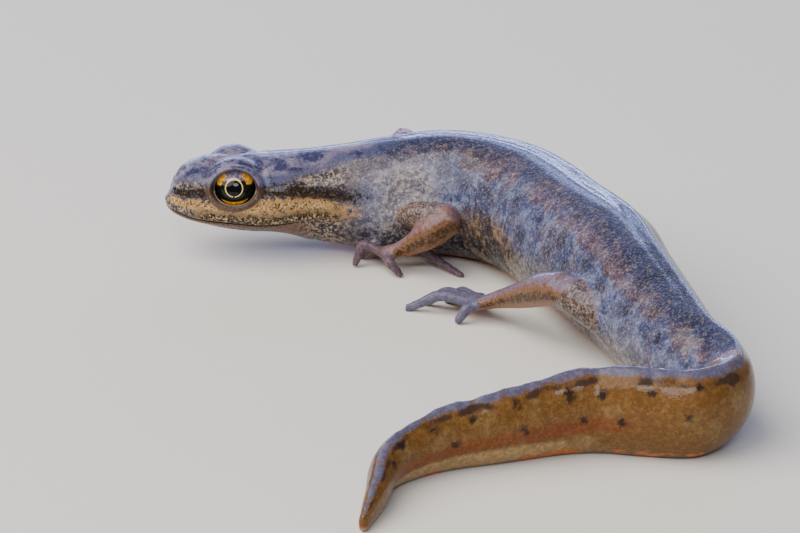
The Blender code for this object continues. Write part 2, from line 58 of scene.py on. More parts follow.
# Stations along the body: x, y, z, half width, height over the axis, depth under it, squareness, lean.
BODY = {
    "snout": (-14.54, 2.30, 3.98, 0.32, 0.42, 0.26, 2.0, 0),
    "snout_curve": (-14.46, 2.31, 3.94, 0.78, 1.00, 0.56, 2.0, 0),
    "nostrils": (-14.22, 2.33, 3.88, 1.20, 1.62, 0.84, 2.1, 0),
    "front_lip": (-13.60, 2.38, 3.79, 1.76, 2.16, 1.16, 2.2, 0),
    "upper_lip": (-12.65, 2.45, 3.75, 2.24, 2.48, 1.42, 2.3, 0),
    "front_of_eye": (-11.65, 2.53, 3.78, 2.50, 2.64, 1.72, 2.3, 0),
    "eye": (-10.50, 2.62, 3.82, 2.72, 2.62, 1.96, 2.3, 0),
    "back_of_eye": (-9.40, 2.70, 3.82, 2.92, 2.64, 2.08, 2.3, 0),
    "cheek": (-8.20, 2.80, 3.80, 3.05, 2.66, 2.16, 2.2, 0),
    "jaw_corner": (-7.20, 2.88, 3.80, 3.02, 2.74, 2.36, 2.2, 1),
    "throat": (-6.00, 2.98, 3.80, 2.76, 2.84, 2.80, 2.1, 2),
    "neck": (-4.40, 3.10, 3.74, 2.74, 3.08, 3.07, 2.1, 3),
    "collar": (-2.80, 3.20, 3.70, 2.95, 3.30, 3.36, 2.1, 4),
    "shoulder": (-0.30, 3.30, 3.80, 3.25, 3.55, 3.84, 2.1, 5),
    "ribs": (3.10, 3.10, 3.88, 3.52, 3.80, 3.98, 2.1, 6),
    "waist": (5.95, 1.70, 3.88, 3.60, 3.84, 3.98, 2.1, 7),
    "bend_start": (7.60, -0.10, 3.88, 3.62, 3.86, 3.98, 2.1, 8),
    "bend_middle": (8.80, -2.20, 3.86, 3.60, 3.86, 3.97, 2.1, 9),
    "flank": (10.30, -5.80, 3.84, 3.55, 3.84, 3.95, 2.1, 10),
    "loin": (12.15, -10.00, 3.80, 3.50, 3.82, 3.92, 2.1, 11),
    "hip": (13.45, -14.60, 3.58, 3.02, 3.60, 3.70, 2.1, 9),
    "vent": (15.10, -19.60, 3.18, 2.66, 3.20, 3.28, 2.0, 8),
    "tail_root": (16.58, -23.90, 2.90, 2.15, 2.90, 2.98, 1.9, 11),
    "tail_bend_in": (17.92, -27.00, 2.78, 1.76, 2.80, 2.84, 1.8, 15),
    "tail_bend": (18.02, -29.20, 2.70, 1.62, 2.74, 2.76, 1.8, 14),
    "tail_bend_out": (16.45, -30.85, 2.62, 1.56, 2.62, 2.68, 1.8, 6),
    "tail_keel": (13.80, -30.75, 2.60, 1.50, 2.62, 2.66, 1.75, 3),
    "tail_middle": (11.00, -30.25, 2.55, 1.42, 2.55, 2.62, 1.7, 3),
    "tail_back": (5.50, -31.80, 2.15, 1.22, 2.12, 2.21, 1.7, 4),
    "tail_curl": (1.60, -33.40, 1.80, 1.04, 1.84, 1.86, 1.7, 4),
    "tail_turn": (-0.60, -35.60, 1.45, 0.88, 1.48, 1.52, 1.7, 4),
    "tail_end": (-1.30, -38.80, 1.00, 0.62, 1.04, 1.06, 1.8, 2),
    "tail_tip": (-2.00, -41.50, 0.45, 0.24, 0.44, 0.48, 2.0, 0),
}

# Head features: distance along the axis from the snout, to the side and over the axis.
EYE_ALONG, EYE_SIDE, EYE_OVER = 4.25, 1.40, 0.92
EYE_R = 1.42
LID_R, LID_BLEND = 1.88, 0.35
LID_REACH = 2.6  # how far the bulge of the brow and lids reaches, as a share of LID_R
GAZE = (-0.12, 1.0, 0.34)  # the eye's direction along, aside and up
MOUTH_ALONG = (-1.0, 0.6, 1.8, 3.7, 5.8, 7.3)
MOUTH_OVER = (-0.44, -0.58, -0.80, -0.98, -1.14, -1.04)
NOSTRIL_ALONG, NOSTRIL_SIDE, NOSTRIL_OVER = 0.30, 0.88, 0.70

# Limbs: x, y, z, half width and half height of each station, and the digits' root, knuckle and tip.
LIMBS = {
    "left_arm": {
        "upper": (
            (-0.60, 1.40, 3.30, 0.95, 0.95),
            (1.30, -0.75, 3.62, 0.80, 0.86),
            (3.25, -2.05, 3.95, 0.88, 0.92),
        ),
        "lower": (
            (3.25, -2.05, 3.95, 0.90, 0.92),
            (1.95, -1.90, 2.95, 0.92, 0.98),
            (0.75, -1.45, 2.00, 0.68, 0.66),
            (-0.15, -0.95, 1.44, 0.52, 0.48),
            (-0.75, -0.60, 1.20, 0.62, 0.40),
            (-1.30, -0.40, 1.06, 0.60, 0.34),
        ),
        "digits": (
            ((-1.15, -0.05, 1.05), (-2.00, 0.85, 0.95), (-2.55, 1.50, 0.02)),
            ((-1.20, -0.35, 1.10), (-2.35, 0.12, 1.42), (-2.88, -0.25, 0.03)),
            ((-1.00, -0.75, 1.02), (-0.62, -1.75, 0.86), (0.15, -2.05, 0.03)),
            ((-0.95, -0.05, 1.00), (1.45, 0.10, 0.95), (4.00, -2.10, 0.03)),
        ),
        "digit_r": 0.33,
    },
    "right_arm": {
        "upper": (
            (-0.60, 5.40, 3.50, 0.95, 0.95),
            (-0.05, 7.45, 4.60, 0.82, 0.84),
            (0.42, 9.00, 5.45, 0.86, 0.86),
        ),
        "lower": (
            (0.42, 9.00, 5.45, 0.88, 0.88),
            (-0.35, 9.70, 4.10, 0.88, 0.86),
            (-1.20, 10.35, 2.45, 0.66, 0.64),
            (-2.05, 10.75, 1.42, 0.52, 0.44),
            (-2.75, 10.85, 1.08, 0.66, 0.38),
            (-3.30, 10.88, 0.90, 0.62, 0.34),
        ),
        "digits": (
            ((-2.90, 10.55, 0.95), (-3.60, 9.80, 0.86), (-4.10, 9.45, 0.02)),
            ((-3.05, 10.70, 0.98), (-4.35, 10.10, 1.14), (-5.20, 9.75, 0.03)),
            ((-3.05, 10.95, 0.98), (-4.50, 11.05, 1.24), (-5.45, 11.10, 0.03)),
            ((-2.90, 11.15, 0.96), (-3.75, 11.80, 1.00), (-4.45, 12.35, 0.03)),
        ),
        "digit_r": 0.33,
    },
    "left_leg": {
        "upper": (
            (12.90, -17.90, 2.85, 1.45, 1.40),
            (11.40, -17.05, 3.50, 1.18, 1.20),
            (9.60, -15.40, 4.20, 1.02, 1.04),
        ),
        "lower": (
            (9.60, -15.40, 4.20, 1.04, 1.04),
            (8.60, -13.95, 3.65, 1.02, 1.04),
            (7.20, -12.00, 2.55, 0.80, 0.80),
            (5.95, -10.30, 1.66, 0.64, 0.56),
            (5.05, -9.50, 1.16, 0.88, 0.42),
            (4.30, -9.00, 0.92, 0.84, 0.34),
        ),
        "digits": (
            ((5.05, -8.95, 0.98), (4.85, -7.95, 0.86), (4.60, -7.10, 0.03)),
            ((4.75, -8.70, 0.98), (3.75, -7.40, 1.05), (2.75, -6.35, 0.04)),
            ((4.55, -8.85, 0.98), (2.85, -7.70, 1.15), (1.35, -6.80, 0.05)),
            ((4.45, -9.10, 0.96), (2.35, -8.35, 1.15), (0.25, -7.80, 0.05)),
            ((4.60, -9.50, 0.94), (4.05, -9.95, 0.95), (3.35, -10.25, 0.04)),
        ),
        "digit_r": 0.37,
    },
    "right_leg": {
        "upper": (
            (14.80, -15.50, 2.80, 1.40, 1.35),
            (15.95, -13.70, 2.65, 1.06, 1.06),
            (16.42, -11.00, 2.40, 0.90, 0.90),
        ),
        "lower": (
            (16.42, -11.00, 2.40, 0.92, 0.92),
            (16.45, -9.75, 2.10, 0.90, 0.90),
            (16.30, -7.90, 1.60, 0.72, 0.72),
            (15.95, -6.60, 1.10, 0.60, 0.52),
            (15.70, -5.70, 0.80, 0.84, 0.40),
            (15.55, -5.00, 0.64, 0.82, 0.34),
        ),
        "digits": (
            ((15.30, -5.65, 0.64), (14.40, -5.10, 0.64), (13.75, -4.75, 0.03)),
            ((15.25, -5.25, 0.68), (14.30, -3.85, 0.86), (13.60, -2.90, 0.04)),
            ((15.45, -5.15, 0.70), (15.10, -3.20, 0.98), (14.75, -1.70, 0.05)),
            ((15.65, -5.20, 0.70), (16.15, -3.35, 0.98), (16.40, -1.80, 0.05)),
            ((15.85, -5.50, 0.66), (16.75, -4.55, 0.76), (17.35, -3.65, 0.04)),
        ),
        "digit_r": 0.37,
    },
}

# How far along a limb its elbow or knee and its wrist or ankle are: 0 is its root and 1 a digit's tip.
BENT_AT, DIGITS_AT = 0.3, 0.72
JOINT_OVERLAP = 0.35  # how far an upper or lower limb's round end reaches past their joint
# A digit's radius, as a share of its root's: at the root, before the knuckle, at it, past it and at the tip.
DIGIT_TAPER = (1.0, 0.94, 0.98, 0.84, 0.68)
KNUCKLE_RISE = 0.06

# The skin's mesh: the fusing voxel, and the sides and spacing of the sections that are fused.
VOXEL = 0.195
BODY_SIDES, LIMB_SIDES, DIGIT_SIDES = 96, 32, 20
SECTION_STEP, DIGIT_STEP, DIGIT_PATH_STEP = 0.2, 0.1, 0.12
SNOUT_STEPS = (0, 0.03, 0.07, 0.13, 0.21, 0.31, 0.44)
# Where it is finer: this far along the head, as far as its end along x, this far round a nostril, and on
# a hand or foot from this share of its limb, within some distance of the limb's own section.
FINE_HEAD, HEAD_END_X = 9.6, -5.0
FINE_NOSTRIL = 0.7
FINE_LIMB, LIMB_SKIN = 0.62, 0.25
# How often the fused skin is smoothed, all over and where a limb grows from the body, and how much.
EVEN_ROUNDS, ROOT_ROUNDS = 6, 18
SMOOTHING, SWELLING = 0.5, 0.52

# The mouth's slit: its height, how deep it goes into the skin, half the width of the sheet that cuts it,
# and the length over which it closes at the corners, to this share of its height.
MOUTH_SLIT, MOUTH_DEPTH, MOUTH_CUT_HALF = 0.10, 0.34, 5.0
MOUTH_CLOSING, MOUTH_CORNER = 1.6, 0.25
HEAD_CORE = (0.35, 9.0)  # where along the head the core starts and ends that the slit doesn't cut
NOSTRIL_R, NOSTRIL_DEPTH = 0.16, 0.30
LID_OPENING = (1.18, 0.92)  # half width and half height of the opening, at the eyeball's middle
LID_EDGE = (1.18, 1.22)  # how much wider and higher it is at the skin
LID_FLARE = 0.22
LID_RIM_R = 0.075
RIM_PROUD = 0.25  # how far the rim's middle stands out of the eyeball, as a share of its radius
RIM_POINTS, RIM_SIDES, RIM_STEP = 96, 12, 0.06
SOCKET_GAP = 0.015
CORNEA_BULGE = 0.035  # as a share of the eyeball's radius

# How far the head's details stand out or in.
LIP_SWELL, LIP_GROOVE, CHIN_SWELL = 0.09, 0.05, 0.05
SNOUT_EDGE, SNOUT_HOLLOW = 0.07, 0.06
NOSTRIL_RIM = 0.06
LID_SWELL, LID_FURROW, BROW_FURROW = 0.05, 0.09, 0.13

# The depths of the skin's folds, and the spacing of those that repeat.
THROAT_FOLD = 0.06
FLANK_CREASE, FLANK_SPACING = 0.26, 0.78
GROIN_CREASE, GROIN_SPACING = 0.15, 1.15
COSTAL_GROOVE, COSTAL_SPACING = 0.035, 2.3
SPINE_RIDGE, SPINE_FURROW = 0.09, 0.05
TAIL_WAVE, TAIL_RIPPLE = 0.06, 0.02
TAIL_WAVE_END = (75, 79)  # where along the body the waves of the tail's edge die out
# The newt lies a little over on its side, so its spine is this many degrees to the right of the top.
ROLL = 14

# Camera: the photograph's viewing angle, from low over the floor and in front of the body's side.
VIEW_ELEVATION, VIEW_DISTANCE = 20, 260
VIEW_LENS, VIEW_SENSOR = 187.2, 36.0

# The floor, in metres: how far it reaches, where it starts to rise behind, its curve's radius and its top.
FLOOR_REACH, FLOOR_BACK, FLOOR_RISE, FLOOR_TOP = 1.2, 0.25, 0.5, 1.6
FLOOR_STEPS = 24
# The lights: place and size in metres, power in watts, and colour. The key stands to the left and over the
# newt, the sky and the rim are long strips behind it that draw the bright edges, and the fill is in front.
LIGHTS = {
    "key": ((-0.20, -0.07, 0.26), (0.50, 0.42), 2.3, "fff8ee"),
    "sky": ((0.00, 0.32, 0.14), (0.50, 0.012), 0.3, "a4b8ff"),
    "rim": ((0.04, 0.36, 0.075), (0.50, 0.016), 0.6, "a8baff"),
    "fill": ((0.00, -0.34, 0.27), (0.20, 0.13), 0.62, "f4f6ff"),
}
LIT_PLACE = Vector((0, 0, 0.004))
STUDIO_COLOUR, STUDIO_STRENGTH = "f2f3f5", 0.30


class Curve:
    """A smooth curve through rows of numbers, one for each distance. With keep, it never overshoots."""

    def __init__(self, distances, rows, keep=False):
        self.s, self.rows = np.asarray(distances, float), np.asarray(rows, float)
        step = np.diff(self.s)[:, None]
        slope = np.diff(self.rows, axis=0) / step
        inner = (slope[:-1] * step[1:] + slope[1:] * step[:-1]) / (step[1:] + step[:-1])
        if keep:
            inner = np.where(slope[:-1] * slope[1:] <= 0, 0, inner)
            limit = 3 * np.minimum(np.abs(slope[:-1]), np.abs(slope[1:]))
            inner = np.clip(inner, -limit, limit)
        self.slopes = np.vstack([slope[:1], inner, slope[-1:]])

    def at(self, s):
        s = np.clip(np.atleast_1d(s), self.s[0], self.s[-1])
        i = np.clip(np.searchsorted(self.s, s, side="right") - 1, 0, len(self.s) - 2)
        step = self.s[i + 1] - self.s[i]
        t = ((s - self.s[i]) / step)[:, None]
        step = step[:, None]
        return (
            (2 * t**3 - 3 * t**2 + 1) * self.rows[i]
            + (t**3 - 2 * t**2 + t) * step * self.slopes[i]
            + (3 * t**2 - 2 * t**3) * self.rows[i + 1]
            + (t**3 - t**2) * step * self.slopes[i + 1]
        )


class Loft:
    """A surface of sections along a path. Each row is x, y, z, half width, over, under, squareness, lean."""

    NUDGE = 0.02  # half the length over which the path's direction is read

    def __init__(self, rows):
        rows = np.asarray(rows, float)
        lengths = np.linalg.norm(np.diff(rows[:, :3], axis=0), axis=1)
        self.stations = np.concatenate([[0], np.cumsum(lengths)])
        self.length = self.stations[-1]
        self.path = Curve(self.stations, rows[:, :3])
        self.sizes = Curve(self.stations, rows[:, 3:], keep=True)

    def frame(self, s):
        """The axis points, and the directions along, to the right and up, at these distances."""
        s = np.atleast_1d(s).astype(float)
        point = self.path.at(s)
        along = self.path.at(s + self.NUDGE) - self.path.at(s - self.NUDGE)
        along /= np.linalg.norm(along, axis=1)[:, None]
        right = np.cross(-along, (0, 0, 1))
        right /= np.linalg.norm(right, axis=1)[:, None]
        up = np.cross(right, -along)
        lean = np.radians(self.sizes.at(s)[:, 4])[:, None]
        leaned = right * np.cos(lean) - up * np.sin(lean)
        return point, along, leaned, up * np.cos(lean) + right * np.sin(lean)

    def place(self, s, aside, over):
        """The point that far along the path, to the animal's right and over the axis."""
        point, _, right, up = self.frame(s)
        return (point + right * aside + up * over)[0]

    def rings(self, distances, sides, grow=0.0, scale=None):
        """Rings of points, grown outwards by some millimetres or scaled."""
        distances = np.asarray(distances, float)
        point, _, right, up = self.frame(distances)
        width, over, under, square, _ = self.sizes.at(distances).T
        scale = np.ones(len(distances)) if scale is None else scale
        turn = np.linspace(0, 2 * math.pi, sides, endpoint=False)
        cosine, sine = np.cos(turn), np.sin(turn)
        power = (2 / square)[:, None]
        across = np.sign(cosine) * np.abs(cosine) ** power
        height = np.sign(sine) * np.abs(sine) ** power
        reach = np.where(sine > 0, over[:, None], under[:, None])
        x = (width[:, None] * scale[:, None] + grow) * across
        z = (reach * scale[:, None] + grow) * height
        return point[:, None] + right[:, None] * x[..., None] + up[:, None] * z[..., None]


def linear(shade):
    """An sRGB hex colour as linear RGBA."""
    channels = [int(shade[i : i + 2], 16) / 255 for i in (0, 2, 4)]
    return (*[((c + 0.055) / 1.055) ** 2.4 if c > 0.04045 else c / 12.92 for c in channels], 1)


def smooth(value, low, high):
    """0 below low, 1 over high, and an even step between."""
    t = np.clip((value - low) / (high - low), 0, 1)
    return t * t * (3 - 2 * t)


def fade(value, full, gone):
    """1 up to full, 0 past gone, and an even step between."""
    return smooth(-value, -gone, -full)


def between(value, start, full, fading, gone):
    """1 from full to fading, with an even step up before it and down after it."""
    return smooth(value, start, full) * fade(value, fading, gone)


def hump(value, middle, half):
    """1 at the middle, falling away evenly on both sides."""
    return np.exp(-(((value - middle) / half) ** 2))


def waves(distance, spacing):
    """Even waves between 0 and 1, this far apart."""
    return 0.5 + 0.5 * np.cos(2 * math.pi * distance / spacing)


def node(tree, kind, settings=None, out=0, **inputs):
    """Adds a node with its settings and inputs, and gives one of its outputs. An input is a value,
    a colour as sRGB hex or another node's output, under the socket's name or as i and its number."""
    made = tree.nodes.new(kind)
    for name, value in (settings or {}).items():
        setattr(made, name, value)
    for name, value in inputs.items():
        key = int(name[1:]) if name[0] == "i" and name[1:].isdigit() else name.replace("_", " ")
        socket = made.inputs[key]
        if isinstance(value, bpy.types.NodeSocket):
            tree.links.new(value, socket)
        else:
            socket.default_value = linear(value) if isinstance(value, str) else value
    return made.outputs[out] if made.outputs else None


def mesh_from(name, rings):
    """A closed mesh object from rings of points in millimetres, with flat caps."""
    sides = rings.shape[1]
    shape = bmesh.new()
    loops = [[shape.verts.new(p) for p in ring] for ring in rings]
    for a, b in zip(loops, loops[1:]):
        for i in range(sides):
            j = (i + 1) % sides
            shape.faces.new((a[i], a[j], b[j], b[i]))
    shape.faces.new(loops[0])
    shape.faces.new(loops[-1])
    bmesh.ops.recalc_face_normals(shape, faces=shape.faces)
    return object_from(name, shape)


def object_from(name, shape):
    """An object of the shape's mesh, in the scene."""
    mesh = bpy.data.meshes.new(name)
    shape.to_mesh(mesh)
    shape.free()
    made = bpy.data.objects.new(name, mesh)
    bpy.context.scene.collection.objects.link(made)
    return made


def evaluated(obj):
    """Applies the object's modifiers, so that its data is a plain mesh."""
    graph = bpy.context.evaluated_depsgraph_get()
    mesh = bpy.data.meshes.new_from_object(obj.evaluated_get(graph))
    obj.modifiers.clear()
    if obj.type == "MESH":
        obj.data = mesh
        return obj
    made = bpy.data.objects.new(obj.name, mesh)
    bpy.context.scene.collection.objects.link(made)
    name = obj.name
    bpy.data.objects.remove(obj)
    made.name = name
    return made


def joined(name, pieces):
    """One object of all the pieces' meshes."""
    shape = bmesh.new()
    for piece in pieces:
        shape.from_mesh(piece.data)
        bpy.data.objects.remove(piece)
    return object_from(name, shape)


def rounded(length, radius, spacing, steps=6, start=False):
    """Distances along a tube and the scale of its section at each, with a round end, and a round start
    where asked."""
    cap = np.sin(np.linspace(0.1, math.pi / 2, steps))
    inset = radius * (1 - np.sqrt(1 - cap**2))
    first = inset if start else np.array([0.0])
    last = length - inset[::-1]
    inner = np.arange(first[-1] + spacing, last[0] - 0.4 * spacing, spacing)
    distances = np.concatenate([first, inner, last])
    scale = np.ones(len(distances))
    if start:
        scale[: len(first)] = cap
    scale[-len(last) :] = cap[::-1]
    return distances, scale


body = Loft(list(BODY.values()))
station = dict(zip(BODY, body.stations))


def limb_rows(points):
    """Rows of x, y, z, half width and half height as rows for a loft of even sections."""
    return [(*p[:3], p[3], p[4], p[4], 2.0, 0.0) for p in points]


def extended(rows, by):
    """The last station moved on along its segment, so that a round end reaches round the joint."""
    last, before = np.array(rows[-1], float), np.array(rows[-2], float)
    way = last[:3] - before[:3]
    last[:3] += way / np.linalg.norm(way) * by
    return tuple(last)


def eye_place(side):
    """The middle of the eyeball. Side is 1 on the animal's right and -1 on its left."""
    return body.place(EYE_ALONG, side * EYE_SIDE, EYE_OVER)


def nostril_place(side):
    """The nostril's middle, on the snout's surface."""
    return body.place(NOSTRIL_ALONG, side * NOSTRIL_SIDE, NOSTRIL_OVER)


def eye_axes(side):
    """The eye's directions across, up and out."""
    _, along, right, up = body.frame(EYE_ALONG)
    out = along[0] * GAZE[0] + right[0] * side * GAZE[1] + up[0] * GAZE[2]
    out /= np.linalg.norm(out)
    height = np.cross(out, along[0])
    height *= np.sign(height[2]) / np.linalg.norm(height)
    return np.cross(height, out), height, out


def tube_tree():
    """Geometry nodes that sweep a round section along a curve, as thick as the curve's own radius."""
    tree = bpy.data.node_groups.new("tube along a path", "GeometryNodeTree")
    tree.interface.new_socket("Path", in_out="INPUT", socket_type="NodeSocketGeometry")
    sides = tree.interface.new_socket("Sides", in_out="INPUT", socket_type="NodeSocketInt")
    spacing = tree.interface.new_socket("Spacing", in_out="INPUT", socket_type="NodeSocketFloat")
    finish = tree.interface.new_socket("Finish", in_out="INPUT", socket_type="NodeSocketMaterial")
    sides.default_value, spacing.default_value = DIGIT_SIDES, DIGIT_STEP
    tree.interface.new_socket("Tube", in_out="OUTPUT", socket_type="NodeSocketGeometry")
    path = node(tree, "NodeGroupInput", out="Path")
    given = path.node.outputs
    dense = node(tree, "GeometryNodeResampleCurve", {"mode": "LENGTH"}, Curve=path, Length=given["Spacing"])
    circle = "GeometryNodeCurvePrimitiveCircle"
    section = node(tree, circle, out="Curve", Resolution=given["Sides"], Radius=1.0)
    radius = node(tree, "GeometryNodeInputRadius")
    tube = node(
        tree,
        "GeometryNodeCurveToMesh",
        Curve=dense,
        Profile_Curve=section,
        Scale=radius,
        Fill_Caps=True,
    )
    real = node(tree, "GeometryNodeRealizeInstances", Geometry=tube)
    done = node(tree, "GeometryNodeSetMaterial", Geometry=real, Material=given["Finish"])
    node(tree, "NodeGroupOutput", Tube=done)
    return tree, {"Sides": sides.identifier, "Spacing": spacing.identifier, "Finish": finish.identifier}


def swept(name, points, radii, tree, inputs, closed=False, **values):
    """A tube through these points, made by the tube tree."""
    data = bpy.data.curves.new(name, "CURVE")
    data.dimensions = "3D"
    line = data.splines.new("POLY")
    line.points.add(len(points) - 1)
    for spot, place, radius in zip(line.points, points, radii):
        spot.co = (*place, 1)
        spot.radius = radius
    line.use_cyclic_u = closed
    made = bpy.data.objects.new(name, data)
    bpy.context.scene.collection.objects.link(made)
    modifier = made.modifiers.new("tube", "NODES")
    modifier.node_group = tree
    for key, value in values.items():
        modifier[inputs[key]] = value
    return evaluated(made)


def digit_path(points, radius):
    """Dense points and radii of a finger or toe: raised at the knuckle, tapered, with a round tip."""
    root, knuckle, tip = (np.array(p) for p in points)
    places = (root, (root + knuckle) / 2 + (0, 0, KNUCKLE_RISE), knuckle, (knuckle + tip) / 2, tip)
    rows = [(*place, radius * share, 0) for place, share in zip(places, DIGIT_TAPER)]
    loft = Loft(limb_rows(rows))
    distances, scale = rounded(loft.length, DIGIT_TAPER[-1] * radius, DIGIT_PATH_STEP)
    return loft.path.at(distances), loft.sizes.at(distances)[:, 0] * scale


def raw_shapes():
    """The body, the limbs and the digits as overlapping closed shapes, and the limbs' axes. Each row of the
    axes is x, y, z, radius, how far along the limb it is, and 1 on a leg."""
    distances = np.concatenate([SNOUT_STEPS, np.arange(0.6, body.length, SECTION_STEP), [body.length]])
    shapes = [mesh_from("body", raise_lids(body.rings(distances, BODY_SIDES)))]
    tree, inputs = tube_tree()
    axes = []
    for name, spec in LIMBS.items():
        is_leg = float(name.endswith("leg"))
        upper = Loft(limb_rows(spec["upper"]))
        spread, scale = rounded(upper.length + JOINT_OVERLAP, spec["upper"][-1][3], SECTION_STEP)
        longer = Loft(limb_rows(spec["upper"][:-1] + (extended(spec["upper"], JOINT_OVERLAP),)))
        spread *= longer.length / spread[-1]
        shapes.append(mesh_from(name + "_upper", longer.rings(spread, LIMB_SIDES, scale=scale)))
        rows = spec["lower"]
        lower = Loft(limb_rows((extended(rows[1::-1], JOINT_OVERLAP),) + rows[1:]))
        spread, scale = rounded(lower.length, rows[-1][4], SECTION_STEP, start=True)
        shapes.append(mesh_from(name + "_lower", lower.rings(spread, LIMB_SIDES, scale=scale)))
        sampled = np.linspace(0, 1, 60)
        for loft, first, last in ((upper, 0.0, BENT_AT), (lower, BENT_AT, DIGITS_AT)):
            place = loft.path.at(sampled * loft.length)
            radius = loft.sizes.at(sampled * loft.length)[:, :2].mean(axis=1)
            along = first + (last - first) * sampled
            axes.append(np.column_stack([place, radius, along, np.full(len(place), is_leg)]))
        for count, points in enumerate(spec["digits"]):
            path, radius = digit_path(points, spec["digit_r"])
            tube = f"{name}_digit_{count}"
            shapes.append(swept(tube, path, radius, tree, inputs, Sides=DIGIT_SIDES, Spacing=DIGIT_STEP))
            along = np.linspace(DIGITS_AT, 1, len(path))
            axes.append(np.column_stack([path, np.maximum(radius, 0.1), along, np.full(len(path), is_leg)]))
    return shapes, np.vstack(axes)


def raise_lids(points):
    """Pushes the head's surface out round each eyeball, into the bulge of the brow and the lids."""
    for side in (1, -1):
        middle = eye_place(side)
        away = points - middle
        distance = np.linalg.norm(away, axis=-1)[..., None]
        pushed = 0.5 * (distance + LID_R + np.sqrt((distance - LID_R) ** 2 + LID_BLEND**2))
        share = np.clip((LID_REACH * LID_R - distance) / LID_R, 0, 1)
        points = middle + away / distance * (distance + (pushed - distance) * share)
    return points


def nearest(points, targets, allowance=None, tried=6):
    """For each point the index of its nearest target, less each target's allowance, and that distance."""
    tree = KDTree(len(targets))
    for index, target in enumerate(targets):
        tree.insert(target, index)
    tree.balance()
    index = np.empty(len(points), int)
    gap = np.empty(len(points))
    for i, point in enumerate(points):
        if allowance is None:
            _, index[i], gap[i] = tree.find(point)
        else:
            found = [(distance - allowance[k], k) for _, k, distance in tree.find_n(point, tried)]
            gap[i], index[i] = min(found)
    return index, gap


# The body's path, sampled closely, for finding where a point lies along it.
PATH_STEP = 0.1
path_s = np.linspace(0, body.length, round(body.length / PATH_STEP))
path_point, path_along, path_right, path_up = body.frame(path_s)
path_size = body.sizes.at(path_s)


def on_body(points):
    """Where points lie on the body: along, aside and over its axis, and how far out (1 is on its section)."""
    index, _ = nearest(points, path_point)
    away = points - path_point[index]
    ahead = (away * path_along[index]).sum(1)
    aside = (away * path_right[index]).sum(1)
    over = (away * path_up[index]).sum(1)
    width, high, low, square = path_size[index, :4].T
    reach = np.where(over > 0, high, low)
    out = (np.abs(aside / width) ** square + np.abs(over / reach) ** square) ** (1 / square)
    return path_s[index] + ahead, aside, over, out


def points_of(mesh):
    """The mesh's points, in millimetres until it is placed."""
    co = np.empty(len(mesh.vertices) * 3)
    mesh.vertices.foreach_get("co", co)
    return co.reshape(-1, 3)


def edges_of(mesh):
    """The two point numbers of each edge."""
    ends = np.empty(len(mesh.edges) * 2, int)
    mesh.edges.foreach_get("vertices", ends)
    return ends.reshape(-1, 2)


def averaged(points, ends, count):
    """The mean of each point's neighbours."""
    total = np.empty_like(points)
    for axis in range(points.shape[1]):
        total[:, axis] = np.bincount(ends[:, 0], points[ends[:, 1], axis], len(points))
        total[:, axis] += np.bincount(ends[:, 1], points[ends[:, 0], axis], len(points))
    return total / count[:, None]


def relaxed(points, ends, rounds, weight=1.0, shrink=True):
    """Points smoothed along their edges. Without shrink, each round is followed by one that swells."""
    count = np.maximum(np.bincount(ends.ravel(), minlength=len(points)), 1)
    for _ in range(rounds):
        points = points + SMOOTHING * weight * (averaged(points, ends, count) - points)
        if not shrink:
            points = points - SWELLING * weight * (averaged(points, ends, count) - points)
    return points


def fused(shapes):
    """One surface of all the shapes, by voxels."""
    made = joined("newt_skin", shapes)
    modifier = made.modifiers.new("fuse", "REMESH")
    modifier.mode = "VOXEL"
    modifier.voxel_size = VOXEL
    return evaluated(made)


def refine(obj, chosen):
    """Splits the faces whose points are all chosen into four."""
    shape = bmesh.new()
    shape.from_mesh(obj.data)
    shape.verts.ensure_lookup_table()
    edges = [e for e in shape.edges if chosen[e.verts[0].index] and chosen[e.verts[1].index]]
    bmesh.ops.subdivide_edges(shape, edges=edges, cuts=1, use_grid_fill=True)
    shape.to_mesh(obj.data)
    shape.free()


def rolled(s, aside, over):
    """The place round the body as seen from the spine, which the roll of the trunk moves to the right."""
    amount = between(s, station["neck"], station["ribs"], station["vent"], station["tail_bend"])
    turn = np.radians(ROLL) * amount
    return aside * np.cos(turn) - over * np.sin(turn), over * np.cos(turn) + aside * np.sin(turn)


